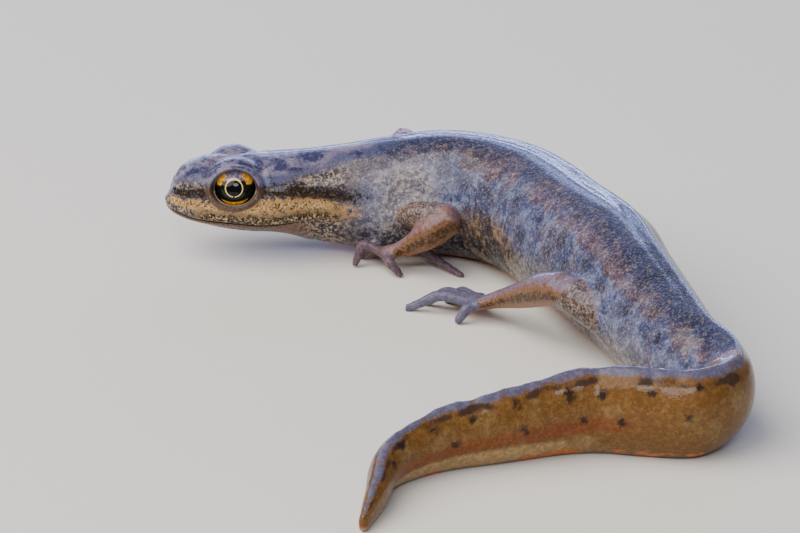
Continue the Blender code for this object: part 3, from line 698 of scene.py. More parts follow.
def folds(points):
    """Depth of the skin's folds at each point."""
    s, aside, over, out = on_body(points)
    left = np.clip(-aside / 3.5, 0, 1)
    # the loose fold across the throat
    depth = THROAT_FOLD * hump(s - 0.12 * np.abs(aside), 9.2, 0.28) * fade(over, -1.6, -0.2)
    # fine creases low on the flank where the bend crowds it, spreading out upwards
    first, last = station["ribs"] + 0.4, station["flank"] + 0.6
    crowd = between(s, first, first + 2.0, last - 2.6, last) * left**0.7 * fade(over, -0.6, 1.9)
    sway = 0.16 * np.sin(2.3 * over + 1.3 * s) + 0.1 * np.sin(5.1 * s)
    slant = (s - station["bend_start"] - 0.6) / (1 + 0.10 * (over + 3.5)) + sway
    patchy = 0.55 + 0.45 * np.sin(1.7 * s + 2.9 * over)
    depth += FLANK_CREASE * crowd * waves(slant, FLANK_SPACING) ** 3 * patchy
    # the skin folds between the thigh and the trunk
    groin = hump(s, station["hip"] - 0.4, 1.9) * left * fade(over, -0.8, 1.4)
    wrinkle = s - 0.75 * over + 0.15 * np.sin(3.0 * over)
    depth += GROIN_CREASE * groin * waves(wrinkle, GROIN_SPACING) ** 4
    # the tail's upper edge waves a little
    wave = TAIL_WAVE * np.sin(1.7 * s + 0.6 * np.sin(0.9 * s)) + TAIL_RIPPLE * np.sin(4.3 * s + 1.0)
    on_edge = between(s, station["tail_bend"], station["tail_keel"], *TAIL_WAVE_END) * smooth(over, 1.0, 1.8)
    depth -= wave * on_edge
    # faint grooves over the ribs, along both flanks
    ribs = between(s, station["shoulder"], station["shoulder"] + 3, station["hip"] - 3, station["hip"])
    groove = waves(s + 0.25 * over, COSTAL_SPACING) ** 8
    depth += COSTAL_GROOVE * ribs * groove * np.clip(1 - np.abs(over) / 3.4, 0, 1)
    # the low ridge along the middle of the back and tail, between two shallow furrows
    aside, over = rolled(s, aside, over)
    turn = np.degrees(np.arctan2(over, aside)) - 90
    along_back = between(s, station["collar"], station["ribs"], station["tail_curl"], station["tail_end"])
    depth -= SPINE_RIDGE * along_back * hump(turn, 0, 5)
    depth += SPINE_FURROW * along_back * hump(np.abs(turn), 13, 5)
    return depth * fade(out, 1.06, 1.16)


def head_relief(points):
    """How far the head's surface stands out: the lips, nostrils, the brow's line and the lids."""
    s, aside, over, out = on_body(points)
    above = over - mouth_over(s)
    swell = LIP_SWELL * hump(above, 0.16, 0.2) - LIP_GROOVE * hump(above, 0, 0.09)
    swell += CHIN_SWELL * hump(above, -0.2, 0.14)
    lift = swell * fade(s, 6.4, 8.2) * (np.abs(over) < 2.2) * fade(out, 1.12, 1.3)
    # the blunt edge between the snout's side and its top, and the hollow over it
    turn = np.degrees(np.arctan2(over, np.abs(aside)))
    edge = SNOUT_EDGE * hump(turn, 50, 8) - SNOUT_HOLLOW * hump(turn, 68, 9)
    lift += between(s, 0.4, 1.2, 2.4, 3.4) * edge
    for side in (1, -1):
        away = np.linalg.norm(points - nostril_place(side), axis=1)
        lift += NOSTRIL_RIM * hump(away, 0.32, 0.12) - NOSTRIL_DEPTH * hump(away, 0, NOSTRIL_R)
        flat, round_eye = lid_distance(points, side)
        lift += (LID_SWELL * hump(flat, 1.10, 0.08) - LID_FURROW * hump(flat, 1.42, 0.10)) * round_eye
        away = np.linalg.norm(points - eye_place(side), axis=1)
        crest = smooth(over, 1.5, 2.2) * smooth(away, 1.6, 1.8) * (side * aside > -0.4)
        lift -= BROW_FURROW * crest * hump(away, 2.18, 0.16)
    return lift


def lid_distance(points, side):
    """How far out in the lids a point is (1 is the opening's edge), and 1 on the outer half of the eye."""
    across, height, out = eye_axes(side)
    away = points - eye_place(side)
    wide, high, deep = away @ across, away @ height, away @ out
    flat = np.hypot(wide / (LID_EDGE[0] * LID_OPENING[0]), high / (LID_EDGE[1] * LID_OPENING[1]))
    return flat, smooth(deep, 0.1, 0.5)


def point_normals(mesh):
    """The direction out of the surface at each point."""
    normals = np.empty(len(mesh.vertices) * 3)
    mesh.vertices.foreach_get("normal", normals)
    return normals.reshape(-1, 3)


def cut(obj, tool):
    """Takes the tool's shape out of the object's, and removes the tool."""
    modifier = obj.modifiers.new("cut", "BOOLEAN")
    modifier.operation = "DIFFERENCE"
    modifier.object = tool
    modifier.solver = "MANIFOLD"
    evaluated(obj)
    bpy.data.objects.remove(tool)


def mouth_over(s):
    """How far over the axis the line of the mouth runs at these distances along it."""
    return Curve(MOUTH_ALONG, np.reshape(MOUTH_OVER, (-1, 1))).at(s)[:, 0]


def mouth_tool():
    """A thin curved sheet at the line of the mouth, with the head's core taken out of its middle."""
    distances = np.linspace(MOUTH_ALONG[0], MOUTH_ALONG[-1], 40)
    point, _, right, up = body.frame(np.clip(distances, 0, None))
    point = point + np.where(distances < 0, distances, 0)[:, None] * body.frame(0)[1]
    middle = point + up * mouth_over(distances)[:, None]
    closing = np.clip((MOUTH_ALONG[-1] - distances) / MOUTH_CLOSING, MOUTH_CORNER, 1)[:, None]
    aside = right * MOUTH_CUT_HALF
    lift = up * MOUTH_SLIT / 2 * closing
    corners = [middle - aside - lift, middle + aside - lift, middle + aside + lift, middle - aside + lift]
    slit = mesh_from("mouth_slit", np.stack(corners, axis=1))
    core = mesh_from("head_core", body.rings(np.linspace(*HEAD_CORE, 50), 72, grow=-MOUTH_DEPTH))
    cut(slit, core)
    return slit


def ball(name, middle, radius, segments):
    """A round ball round a middle."""
    shape = bmesh.new()
    bmesh.ops.create_uvsphere(shape, u_segments=segments, v_segments=segments // 2, radius=radius)
    bmesh.ops.translate(shape, verts=shape.verts, vec=Vector(middle))
    return object_from(name, shape)


def opening_tool(side):
    """The flared opening between the lids, joined to the ball that the eyeball lies in."""
    middle = eye_place(side)
    across, height, out = eye_axes(side)
    reach = 3.0
    wide = 1 + LID_FLARE * reach
    shape = bmesh.new()
    bmesh.ops.create_cone(shape, cap_ends=True, segments=96, radius1=1, radius2=wide, depth=reach)
    for vert in shape.verts:
        x, y, z = vert.co
        flat = across * x * LID_OPENING[0] + height * y * LID_OPENING[1]
        vert.co = middle + flat + out * (z + reach / 2)
    bmesh.ops.recalc_face_normals(shape, faces=shape.faces)
    opening = object_from("lid_opening", shape)
    socket = ball("socket", middle, EYE_R + SOCKET_GAP, 64)
    modifier = socket.modifiers.new("join", "BOOLEAN")
    modifier.operation = "UNION"
    modifier.object = opening
    evaluated(socket)
    bpy.data.objects.remove(opening)
    return socket


def make_skin():
    """The newt's one skin: fused, smoothed, folded, opened at the mouth and the lids, and marked."""
    shapes, axes = raw_shapes()
    skin = fused(shapes)
    points = points_of(skin.data)
    s, _, _, _ = on_body(points)
    index, gap = nearest(points, axes[:, :3], axes[:, 3])
    on_head = (s < FINE_HEAD) & (points[:, 0] < HEAD_END_X)
    refine(skin, on_head | ((gap < LIMB_SKIN) & (axes[index, 4] > FINE_LIMB)))
    points = points_of(skin.data)
    near = [np.linalg.norm(points - nostril_place(side), axis=1) < FINE_NOSTRIL for side in (1, -1)]
    refine(skin, near[0] | near[1])
    mesh = skin.data
    points = points_of(mesh)
    ends = edges_of(mesh)
    points = relaxed(points, ends, EVEN_ROUNDS, shrink=False)
    # the creases where a limb grows from the body are softened more
    _, _, _, out = on_body(points)
    index, gap = nearest(points, axes[:, :3], axes[:, 3])
    root = fade(np.abs(out - 1.05), 0.05, 0.28) * fade(gap, 0.2, 0.9) * (axes[index, 4] < 0.4)
    points = relaxed(points, ends, ROOT_ROUNDS, weight=root[:, None])
    mesh.vertices.foreach_set("co", points.ravel())
    mesh.update()
    normals = point_normals(mesh)
    points = points + normals * (head_relief(points) - folds(points))[:, None]
    points[:, 2] = np.maximum(points[:, 2], 0)
    mesh.vertices.foreach_set("co", points.ravel())
    mesh.update()
    cut(skin, mouth_tool())
    for side in (1, -1):
        cut(skin, opening_tool(side))
    mark(skin.data, axes)
    return skin


def set_field(mesh, name, values):
    """Stores a value for each point of the mesh, for the materials to read."""
    made = mesh.attributes.new(name, "FLOAT", "POINT")
    made.data.foreach_set("value", np.asarray(values, np.float32))


# The dark band through the eye, along the head: along, over and half width.
EYE_BAND = ((0.2, 0.66, 0.28), (1.2, 0.86, 0.36), (2.2, 0.98, 0.40), (4.2, 0.95, 0.42), (6.3, 1.22, 0.46))
EYE_BAND += ((8.0, 0.98, 0.52), (10.0, 0.72, 0.56), (12.4, 0.40, 0.60), (14.5, 0.10, 0.40))
# The golden band under it, as far as the neck.
CHEEK_BAND = ((0.2, 0.10, 0.34), (1.8, 0.20, 0.42), (4.2, -0.15, 0.42), (6.5, 0.24, 0.72), (9.0, -0.06, 0.92))
CHEEK_BAND += ((11.0, -0.40, 0.92), (13.2, -0.85, 0.80))

# Rows of dark blotches: first and last station, spacing, degrees round from the right side over the
# back (90 is the midline), radius, and how far each may stray.
BLOTCH_ROWS = (
    ("throat", "tail_bend_in", 2.9, 100, 1.20, 0.5),
    ("neck", "tail_bend_in", 3.0, 56, 1.20, 0.5),
    ("collar", "tail_bend_in", 2.9, 128, 1.25, 0.6),
    ("shoulder", "tail_bend_in", 3.0, 28, 1.25, 0.6),
    ("shoulder", "tail_root", 3.4, 152, 1.00, 0.9),
    ("shoulder", "tail_root", 3.5, 0, 1.00, 0.9),
    ("shoulder", "vent", 3.7, 180, 0.90, 0.9),
    ("shoulder", "vent", 3.8, -28, 0.90, 0.9),
    ("tail_bend", "tail_end", 2.4, 140, 0.60, 0.4),
    ("tail_bend", "tail_end", 2.5, 40, 0.60, 0.4),
    ("tail_bend", "tail_curl", 3.1, 172, 0.50, 0.6),
    ("tail_bend", "tail_curl", 3.2, 8, 0.50, 0.6),
)
BLOTCH_SEED = 11
# How far up the side of the head the blue of the crown begins: 0 is the middle of the side, 1 the top.
CROWN_EDGE = {"nostrils": 0.60, "front_of_eye": 0.46, "back_of_eye": 0.36, "neck": 0.62, "ribs": 0.84}


def blotches():
    """Middles and radii of the dark blotches, each on the body's surface."""
    rng = np.random.default_rng(BLOTCH_SEED)
    found = []
    for first, last, spacing, turn, radius, stray in BLOTCH_ROWS:
        for s in np.arange(station[first], station[last], spacing):
            s = s + rng.uniform(-stray, stray)
            angle = math.radians(turn + rng.uniform(-10, 10))
            width, over, under, _, _ = body.sizes.at(s)[0]
            reach = over if math.sin(angle) > 0 else under
            place = body.place(s, width * math.cos(angle), reach * math.sin(angle))
            found.append((*place, radius * rng.uniform(0.7, 1.25)))
    return np.array(found)


def strip(s, over, rows):
    """How strongly a band that runs along the head shows: 1 on its middle, fading out to its edges."""
    band = Curve([row[0] for row in rows], [row[1:] for row in rows]).at(s)
    last = rows[-1][0]
    return hump(over, band[:, 0], band[:, 1]) * fade(s, last - 4, last + 1)


def mark(mesh, axes):
    """Stores, at each point, how strongly each marking and each painted shade of the skin shows there."""
    points = points_of(mesh)
    normals = point_normals(mesh)
    s, aside, over, out = on_body(points)
    aside, over = rolled(s, aside, over)
    _, high, low, _, _ = body.sizes.at(s).T
    level = over / np.where(over > 0, high, low)
    above = over - mouth_over(s)
    facing = normals[:, 2]
    index, gap = nearest(points, axes[:, :3], axes[:, 3])
    reach = axes[index, 4]
    limb = fade(gap, 0.12, 0.5) * smooth(out, 1.0, 1.16)
    legs = limb * axes[index, 5]
    past_bend = s + 1.8 * smooth(aside, 0.0, 1.2)
    tail = smooth(past_bend, station["tail_bend_in"] + 0.4, station["tail_bend"] + 0.6)
    back_tail = tail * smooth(s, station["tail_bend_out"], station["tail_back"])
    mid_tail = tail * smooth(s, station["tail_bend_out"], station["tail_middle"])
    trunk = 1 - tail
    behind_jaw = trunk * smooth(s, station["jaw_corner"], station["collar"])
    head = fade(s, station["neck"], station["shoulder"])
    on_side = smooth(np.abs(aside), 0.3, 0.9)
    jaws = fade(s, 6.6, 10.4)
    crown = fade(s, station["collar"], station["ribs"] + 1)
    crown_from = np.interp(s, [station[name] for name in CROWN_EDGE], list(CROWN_EDGE.values()))
    blotch = blotches()
    nearby, spot_gap = nearest(points, blotch[:, :3])
    spot = hump(spot_gap, 0, blotch[nearby, 3])
    lids = np.zeros(len(points))
    nostril_shade = np.zeros(len(points))
    for side in (1, -1):
        flat, round_eye = lid_distance(points, side)
        lids = np.maximum(lids, round_eye * fade(flat, 1.2, 1.46) * fade(over, 1.1, 1.9))
        away = np.linalg.norm(points - nostril_place(side), axis=1)
        nostril_shade = np.maximum(nostril_shade, fade(away, 0.12, 0.24))
    fields = {
        "trunk": trunk,
        # the lower flank, browner and darker: partly its own colour and partly painted shade
        "low": fade(level, -0.6, 0.0) * trunk,
        "crest": smooth(level, 0.4, 0.8) * trunk,
        "rust": between(level, 0.15, 0.45, 0.75, 0.95) * behind_jaw,
        # the hollow behind the left elbow: golden-brown skin, and painted shade low in it
        "hollow_skin_and_shade": hump(s, station["bend_middle"] - 0.6, 4.6) * fade(level, -0.5, 0.0) * (aside < 0),
        "belly": fade(facing, -0.9, -0.78) * fade(level, -0.8, -0.6) * behind_jaw,
        "face": head,
        "crown": crown * smooth(level - crown_from, -0.18, 0.42),
        "shoulder": hump(s, station["shoulder"] + 0.6, 3.4) * fade(level, 0.3, 0.8),
        "temple": head * fade(level - crown_from, 0.0, 0.42),
        "band": strip(s, over, EYE_BAND) * on_side,
        "cheek": strip(s, over, CHEEK_BAND) * on_side,
        "lip": between(above, 0.0, 0.1, 0.4, 1.25) * between(s, 0.8, 2.4, 9.5, 13),
        "jaw": fade(above, -0.1, 0.0) * jaws,
        # painted shade along the line of the mouth
        "mouth_line_shade": hump(above, 0, 0.09) * jaws,
        # painted shade: the bottoms of the skin's folds are darkened
        "crease_shade": smooth(folds(points), 0.02, 0.08),
        "lids": lids,
        # painted shade: the nostrils are painted near black
        "nostril_shade": nostril_shade,
        # painted shade in the pocket between the thigh and the trunk
        "groin": hump(s, station["hip"] + 0.6, 3.2) * fade(level, -0.5, 0.1),
        "spot": spot * behind_jaw,
        "tail": tail,
        "tail_side": tail * fade(level, 0.5, 0.7),
        "tail_spot": spot * tail,
        "ridge": tail * smooth(level, 0.76, 0.98),
        "ridge_edge": tail * hump(level, 0.82, 0.15),
        "tail_middle": mid_tail * hump(level, -0.12, 0.30),
        "tail_low": back_tail * fade(level, -0.52, -0.14),
        "keel": tail * fade(level, -0.8, -0.62),
        "limb": limb,
        "limb_top": limb * smooth(facing, -0.1, 0.5),
        "leg_top": legs * smooth(facing, 0.1, 0.6),
        "limb_side": limb * between(facing, -0.65, -0.4, 0.0, 0.25) * fade(reach, 0.66, 0.76),
        "limb_low": limb * fade(facing, -0.7, -0.3) * fade(reach, 0.6, 0.74),
        "upper": limb * fade(reach, 0.24, 0.36) * smooth(limb, 0.3, 0.8),
        "digit": limb * smooth(reach, 0.6, 0.76),
        "toes": legs * smooth(reach, 0.6, 0.76),
    }
    for name, values in fields.items():
        set_field(mesh, name, values)


# The skin's patterns: the size of each in millimetres, its detail and its roughness. The newt's own
# pigment grains are near 0.03 mm, too fine to show, so the grain is drawn coarser.
SKIN_PATTERNS = {
    "grain": (0.13, 2.0, 0.6),
    "fine": (0.30, 4.0, 0.75),
    "cloud": (1.0, 5.0, 0.75),
    "patch": (1.9, 4.0, 0.65),
    "broad": (3.2, 3.0, 0.6),
}

# The skin's colours, each laid over the ones before: mark, pattern, how much the pattern sways the mark,
# where the colour begins and is full, its strength, and the colour.
SKIN_LAYERS = (
    # the lower flank's brown, partly its own colour and partly painted shade
    ("low", "cloud", 1.2, 0.90, 1.55, 0.80, "5d5353"),
    ("trunk", "patch", 2.4, 2.10, 2.50, 0.60, "6a5558"),
    ("rust", "patch", 2.8, 2.06, 2.50, 0.88, "643f3a"),
    # pale blue clouds on the trunk, partly a painted blue sheen
    ("trunk", "cloud", 2.4, 2.12, 2.50, 0.55, "8d94b8"),
    ("trunk", "cloud", -2.4, -0.30, 0.00, 0.55, "2a2e56"),
    ("crest", "cloud", 1.0, 0.70, 1.35, 0.85, "20284e"),
    ("spot", "cloud", 2.6, 1.80, 2.45, 0.90, "0b0e2c"),
    ("rust", "cloud", 2.0, 1.85, 2.35, 0.60, "7d6468"),
    ("low", "fine", 2.0, 1.94, 2.20, 0.45, "8e744c"),
    ("shoulder", "cloud", 1.6, 0.95, 1.65, 0.60, "a2a2b6"),
    ("shoulder", "fine", 2.0, 1.66, 2.06, 0.50, "b09d86"),
    ("shoulder", "fine", -2.0, -0.20, 0.06, 0.50, "34313e"),
    # golden-brown skin colour in the hollow, then near-black patches of painted shade under the belly's edge
    ("hollow_skin_and_shade", "cloud", 1.6, 0.95, 1.60, 0.88, "86663e"),
    ("hollow_skin_and_shade", "patch", -3.2, -1.02, -0.56, 0.90, "110c0d"),
    # painted shade in the bottoms of the skin's folds
    ("crease_shade", "fine", 1.2, 0.90, 1.60, 0.72, "241f2a"),
    ("face", "cloud", 1.4, 0.95, 1.55, 0.95, "6e6468"),
    ("trunk", "fine", 2.0, 2.00, 2.30, 0.26, "a3968c"),
    ("trunk", "fine", -2.0, -0.22, 0.06, 0.35, "202238"),
    ("trunk", "grain", 1.0, 1.50, 1.70, 0.16, "cdc8c8"),
    ("trunk", "grain", -1.0, 0.44, 0.62, 0.26, "14141f"),
    # the crown's blue, partly its own colour and partly a painted sheen of mirrored sky
    ("crown", "cloud", 1.6, 1.00, 1.65, 0.82, "444a70"),
    ("crown", "patch", -2.2, -0.45, 0.05, 0.75, "84788e"),
    ("crown", "cloud", -2.6, -0.48, -0.12, 0.84, "182049"),
    ("crown", "fine", 2.0, 2.08, 2.36, 0.45, "a9abc8"),
    # dark flecks on the lower flank, partly painted shade
    ("low", "fine", -2.0, -0.10, 0.10, 0.55, "15100f"),
    # painted shade: the pocket between thigh and trunk is darkened, with dark speckle
    ("groin", "fine", -2.2, -0.45, 0.00, 0.70, "33282b"),
    ("groin", "grain", -1.0, 0.34, 0.50, 0.90, "0d0a0c"),
    ("temple", "fine", 2.0, 1.94, 2.20, 0.70, "a18b70"),
    ("temple", "grain", 1.0, 1.50, 1.64, 0.60, "c9b698"),
    ("temple", "fine", -2.0, -0.10, 0.10, 0.75, "261d26"),
    ("temple", "grain", -1.0, 0.50, 0.64, 0.65, "1b151b"),
    ("cheek", "fine", 3.2, 2.00, 2.55, 0.92, "ba9058"),
    ("cheek", "cloud", -2.0, -0.14, 0.06, 0.45, "6b5438"),
    ("cheek", "grain", 1.0, 1.44, 1.60, 0.55, "dfbf8c"),
    ("cheek", "grain", -1.0, 0.46, 0.62, 0.90, "2a1a0c"),
    ("lip", "fine", 0.8, 0.65, 1.15, 0.80, "826a4a"),
    ("lip", "grain", 1.0, 1.47, 1.60, 0.80, "d2b68c"),
    ("lip", "fine", -2.4, -0.50, -0.10, 0.80, "1d1510"),
    ("lip", "grain", -1.4, 0.20, 0.42, 0.85, "130e0b"),
    ("jaw", "fine", 1.4, 0.85, 1.60, 0.92, "6c5240"),
    ("jaw", "grain", -1.0, 0.50, 0.62, 0.70, "24170e"),
    ("band", "fine", 3.4, 2.26, 2.62, 0.94, "140c08"),
    ("band", "grain", 1.0, 1.54, 1.64, 0.45, "7c5a2c"),
    ("tail", "cloud", 1.4, 0.85, 1.35, 1.00, "745026"),
    ("tail", "patch", 2.0, 1.98, 2.25, 0.45, "8a7048"),
    ("tail_middle", "cloud", 1.0, 0.85, 1.55, 0.70, "7e3a18"),
    ("tail_low", "cloud", 1.0, 0.85, 1.45, 0.85, "b09162"),
    ("ridge_edge", "patch", 2.4, 1.95, 2.35, 0.80, "160f1f"),
    # the blue-grey upper edge of the tail, partly a painted sheen of mirrored sky
    ("ridge", "cloud", 1.6, 1.25, 1.85, 0.92, "5c5f7e"),
    ("keel", "broad", 3.4, 2.78, 2.96, 0.95, "cc6c18"),
    ("tail", "fine", -2.0, -0.16, 0.08, 0.35, "2c1a0a"),
    ("tail_side", "grain", 1.0, 1.54, 1.68, 0.16, "a58a5c"),
    ("tail_spot", "cloud", 2.6, 1.86, 2.36, 0.85, "0e0911"),
    ("limb", "fine", 0.3, 0.75, 1.10, 0.97, "6f4c30"),
    ("limb_low", "fine", 2.0, 1.70, 2.25, 0.80, "925220"),
    ("limb_top", "fine", 2.0, 1.60, 2.15, 0.88, "806470"),
    ("leg_top", "fine", 2.0, 1.65, 2.15, 0.85, "6e6681"),
    ("limb_side", "fine", -2.8, -0.80, -0.30, 0.76, "241810"),
    ("limb", "grain", 1.0, 1.52, 1.70, 0.16, "b3997f"),
    ("limb", "grain", -1.0, 0.48, 0.62, 0.28, "1c100b"),
    ("upper", "fine", 2.0, 1.60, 2.15, 0.60, "746a6a"),
    ("upper", "grain", 1.0, 1.48, 1.66, 0.42, "b3a596"),
    ("upper", "fine", -2.0, -0.16, 0.10, 0.55, "241b1a"),
    ("upper", "grain", -1.0, 0.46, 0.62, 0.45, "1c1412"),
    ("digit", "fine", 0.8, 0.70, 1.20, 0.88, "5e4c58"),
    ("toes", "fine", 0.8, 0.70, 1.20, 0.85, "63637f"),
    ("digit", "fine", -2.0, -0.20, 0.06, 0.35, "262031"),
    ("digit", "grain", 1.0, 1.52, 1.66, 0.18, "a89a9c"),
    ("belly", "fine", 0.4, 0.6, 1.0, 0.95, "b3561c"),
    ("belly", "cloud", -1.0, 0.54, 0.60, 0.90, "1f1918"),
    ("lids", "fine", 0.3, 0.4, 1.0, 0.90, "4a3628"),
    ("lids", "grain", 1.0, 1.52, 1.62, 0.40, "8f7a66"),
    # painted shade darkening the line of the mouth
    ("mouth_line_shade", "fine", 0.2, 0.4, 0.9, 0.85, "120b07"),
    # painted shade: the nostrils are painted near black
    ("nostril_shade", "fine", 0.1, 0.3, 0.7, 1.00, "060404"),
)
# The slate blue ground is partly the skin's own grey and partly a painted blue sheen, the sky mirrored in wet
# skin.
SKIN_GROUND_AND_SHEEN = "555f88"  # slate blue, the ground of the trunk
GRANULE, GRANULE_HEIGHT = 0.14, 0.04  # the skin's granules, in millimetres
LID_MOTTLE = 0.3  # the lids' mottling, in millimetres
IRIS_FLECK = EYE_R / 9  # the iris's golden flecks, about 0.16 mm

STEP = {"interpolation_type": "SMOOTHSTEP"}
COLOURS = {"data_type": "RGBA"}
SUM_OF_PRODUCT = {"operation": "MULTIPLY_ADD"}


def scale_of(size):
    """A texture's scale in Object coordinates for features of that many millimetres."""
    return 1 / (size * MM)


def new_material(name):
    """An empty material, for a tree that ends in its own shader."""
    made = bpy.data.materials.new(name)
    made.use_nodes = True
    made.node_tree.nodes.clear()
    return made, made.node_tree


def newt_skin_material():
    """Moist newt skin: grained pigment in satin skin, under a thin wet film that gives the sharp glints."""
    made, tree = new_material("moist newt skin")
    maths, step = "ShaderNodeMath", "ShaderNodeMapRange"
    where = node(tree, "ShaderNodeTexCoord", out="Object")
    patterns, marks = {}, {}
    for name, (size, detail, rough) in SKIN_PATTERNS.items():
        settings = {"Scale": scale_of(size), "Detail": detail, "Roughness": rough}
        patterns[name] = node(tree, "ShaderNodeTexNoise", Vector=where, **settings)
    for name in dict.fromkeys(layer[0] for layer in SKIN_LAYERS):
        marks[name] = node(tree, "ShaderNodeAttribute", {"attribute_name": name}, "Fac")
    shade = node(tree, "ShaderNodeRGB")
    shade.default_value = linear(SKIN_GROUND_AND_SHEEN)
    for name, pattern, sway, begin, full, strength, colour in SKIN_LAYERS:
        swayed = node(tree, maths, SUM_OF_PRODUCT, i0=patterns[pattern], i1=sway, i2=marks[name])
        amount = node(tree, step, STEP, Value=swayed, From_Min=begin, From_Max=full, To_Max=strength)
        shade = node(tree, "ShaderNodeMix", COLOURS, 2, i0=amount, i6=shade, i7=colour)
    # satin skin is a little rougher where its grain stands up
    rough = node(tree, step, Value=patterns["fine"], To_Min=0.36, To_Max=0.56)
    # the skin's granules, tiny domes, and the wet film that levels most of them
    domes = node(tree, "ShaderNodeTexVoronoi", Vector=where, Scale=scale_of(GRANULE))
    relief = node(tree, maths, SUM_OF_PRODUCT, i0=patterns["fine"], i1=0.8, i2=domes)
    ripples = node(tree, maths, SUM_OF_PRODUCT, i0=patterns["cloud"], i1=4.0, i2=relief)
    high = GRANULE_HEIGHT * MM
    skin_normal = node(tree, "ShaderNodeBump", Strength=0.5, Distance=high, Height=relief)
    film_normal = node(tree, "ShaderNodeBump", Strength=0.10, Distance=high, Height=ripples)
    shader = node(
        tree,
        "ShaderNodeBsdfPrincipled",
        Base_Color=shade,
        Roughness=rough,
        IOR=1.4,
        Specular_IOR_Level=0.1,
        Normal=skin_normal,
        Coat_Weight=0.65,
        Coat_Roughness=0.06,
        Coat_IOR=1.33,
        Coat_Normal=film_normal,
    )
    node(tree, "ShaderNodeOutputMaterial", Surface=shader)
    return made


def wet_eye_material():
    """A wet eye: a black pupil in a thin pale-gold ring, and a dark iris with gold below and at two places
    above, under a clear wet cornea that gives one sharp glint."""
    made, tree = new_material("wet eye")
    maths, vectors, step = "ShaderNodeMath", "ShaderNodeVectorMath", "ShaderNodeMapRange"
    product = {"operation": "MULTIPLY"}
    apart = {"operation": "DISTANCE"}
    where = node(tree, "ShaderNodeUVMap", {"uv_map": "Iris"})
    centred = node(tree, "ShaderNodeMapping", Vector=where, Location=(-1, -1, 0), Scale=(2, 2, 1))
    folded = node(tree, vectors, {"operation": "ABSOLUTE"}, i0=centred)
    level = node(tree, "ShaderNodeSeparateXYZ", None, "Y", Vector=centred)
    radius = node(tree, vectors, {"operation": "LENGTH"}, "Value", i0=centred)
    # the map is one eyeball wide
    size = 2 * EYE_R / IRIS_FLECK
    flecks = node(tree, "ShaderNodeTexNoise", Vector=where, Scale=size, Detail=4.0, Roughness=0.7)
    ragged = node(tree, maths, SUM_OF_PRODUCT, i0=flecks, i1=0.10, i2=radius)

    # the golden crescent along the lower lid lies between the iris's round edge and a wider, higher circle
    from_high = node(tree, vectors, apart, "Value", i0=centred, i1=(0, 0.62, 0))
    inside = node(tree, step, STEP, Value=ragged, From_Min=0.80, From_Max=0.77)
    beyond = node(tree, step, STEP, Value=from_high, From_Min=1.19, From_Max=1.225)
    crescent = node(tree, maths, product, i0=inside, i1=beyond)
    warm = node(tree, step, STEP, Value=flecks, From_Min=0.42, From_Max=0.62)
    gold = node(tree, "ShaderNodeMix", COLOURS, 2, i0=warm, i6="c9801a", i7="fac03a")
    iris = node(tree, "ShaderNodeMix", COLOURS, 2, i0=crescent, i6="0b1109", i7=gold)

    # over the pupil the iris is painted lavender grey, a painted reflection of the sky, between two golden
    # patches
    upper = node(tree, step, STEP, Value=level, From_Min=0.27, From_Max=0.37)
    painted_sky = node(tree, "ShaderNodeMix", COLOURS, 2, i0=warm, i6="5a4e66", i7="9385a3")
    iris = node(tree, "ShaderNodeMix", COLOURS, 2, i0=upper, i6=iris, i7=painted_sky)
    spread = node(tree, vectors, product, i0=folded, i1=(1.0, 0.8, 0))
    from_patch = node(tree, vectors, apart, "Value", i0=spread, i1=(0.56, 0.34, 0))
    patch = node(tree, step, STEP, Value=from_patch, From_Min=0.30, From_Max=0.20)
    outer = node(tree, step, STEP, Value=ragged, From_Min=0.58, From_Max=0.66)
    patch = node(tree, maths, product, i0=patch, i1=outer)
    above = node(tree, step, STEP, Value=level, From_Min=0.1, From_Max=0.2)
    patch = node(tree, maths, product, i0=patch, i1=above)
    iris = node(tree, "ShaderNodeMix", COLOURS, 2, i0=patch, i6=iris, i7=gold)
    edge = node(tree, step, STEP, Value=radius, From_Min=0.80, From_Max=0.90)
    iris = node(tree, "ShaderNodeMix", COLOURS, 2, i0=edge, i6=iris, i7="100b07")

    # the ring is thicker on top and notched at the bottom
    cap = node(tree, step, STEP, Value=level, From_Min=0.20, From_Max=0.40, To_Max=-0.05)
    ring_radius = node(tree, maths, {"operation": "ADD"}, i0=radius, i1=cap)
    ring = node(tree, step, STEP, Value=ring_radius, From_Min=0.395, From_Max=0.375)
    away = node(tree, vectors, apart, "Value", i0=centred, i1=(-0.02, -0.38, 0))
    whole = node(tree, step, STEP, Value=away, From_Min=0.03, From_Max=0.06)
    ring = node(tree, maths, product, i0=ring, i1=whole)
    iris = node(tree, "ShaderNodeMix", COLOURS, 2, i0=ring, i6=iris, i7="efcf86")
    pupil = node(tree, step, STEP, Value=radius, From_Min=0.355, From_Max=0.335)
    iris = node(tree, "ShaderNodeMix", COLOURS, 2, i0=pupil, i6=iris, i7="010102")
    shader = node(tree, "ShaderNodeBsdfPrincipled", Base_Color=iris, Roughness=0.04, IOR=1.36)
    node(tree, "ShaderNodeOutputMaterial", Surface=shader)
    return made


def lid_material():
    """The lids' moist brown edge, smooth and wet all over."""
    made, tree = new_material("moist lid edge")
    where = node(tree, "ShaderNodeTexCoord", out="Object")
    mottle = node(tree, "ShaderNodeTexNoise", Vector=where, Scale=scale_of(LID_MOTTLE), Detail=3.0)
    shade = node(tree, "ShaderNodeMix", COLOURS, 2, i0=mottle, i6="3a2a1e", i7="806554")
    wet = {"Roughness": 0.28, "Coat_Weight": 0.6, "Coat_Roughness": 0.06}
    shader = node(tree, "ShaderNodeBsdfPrincipled", Base_Color=shade, **wet)
    node(tree, "ShaderNodeOutputMaterial", Surface=shader)
    return made


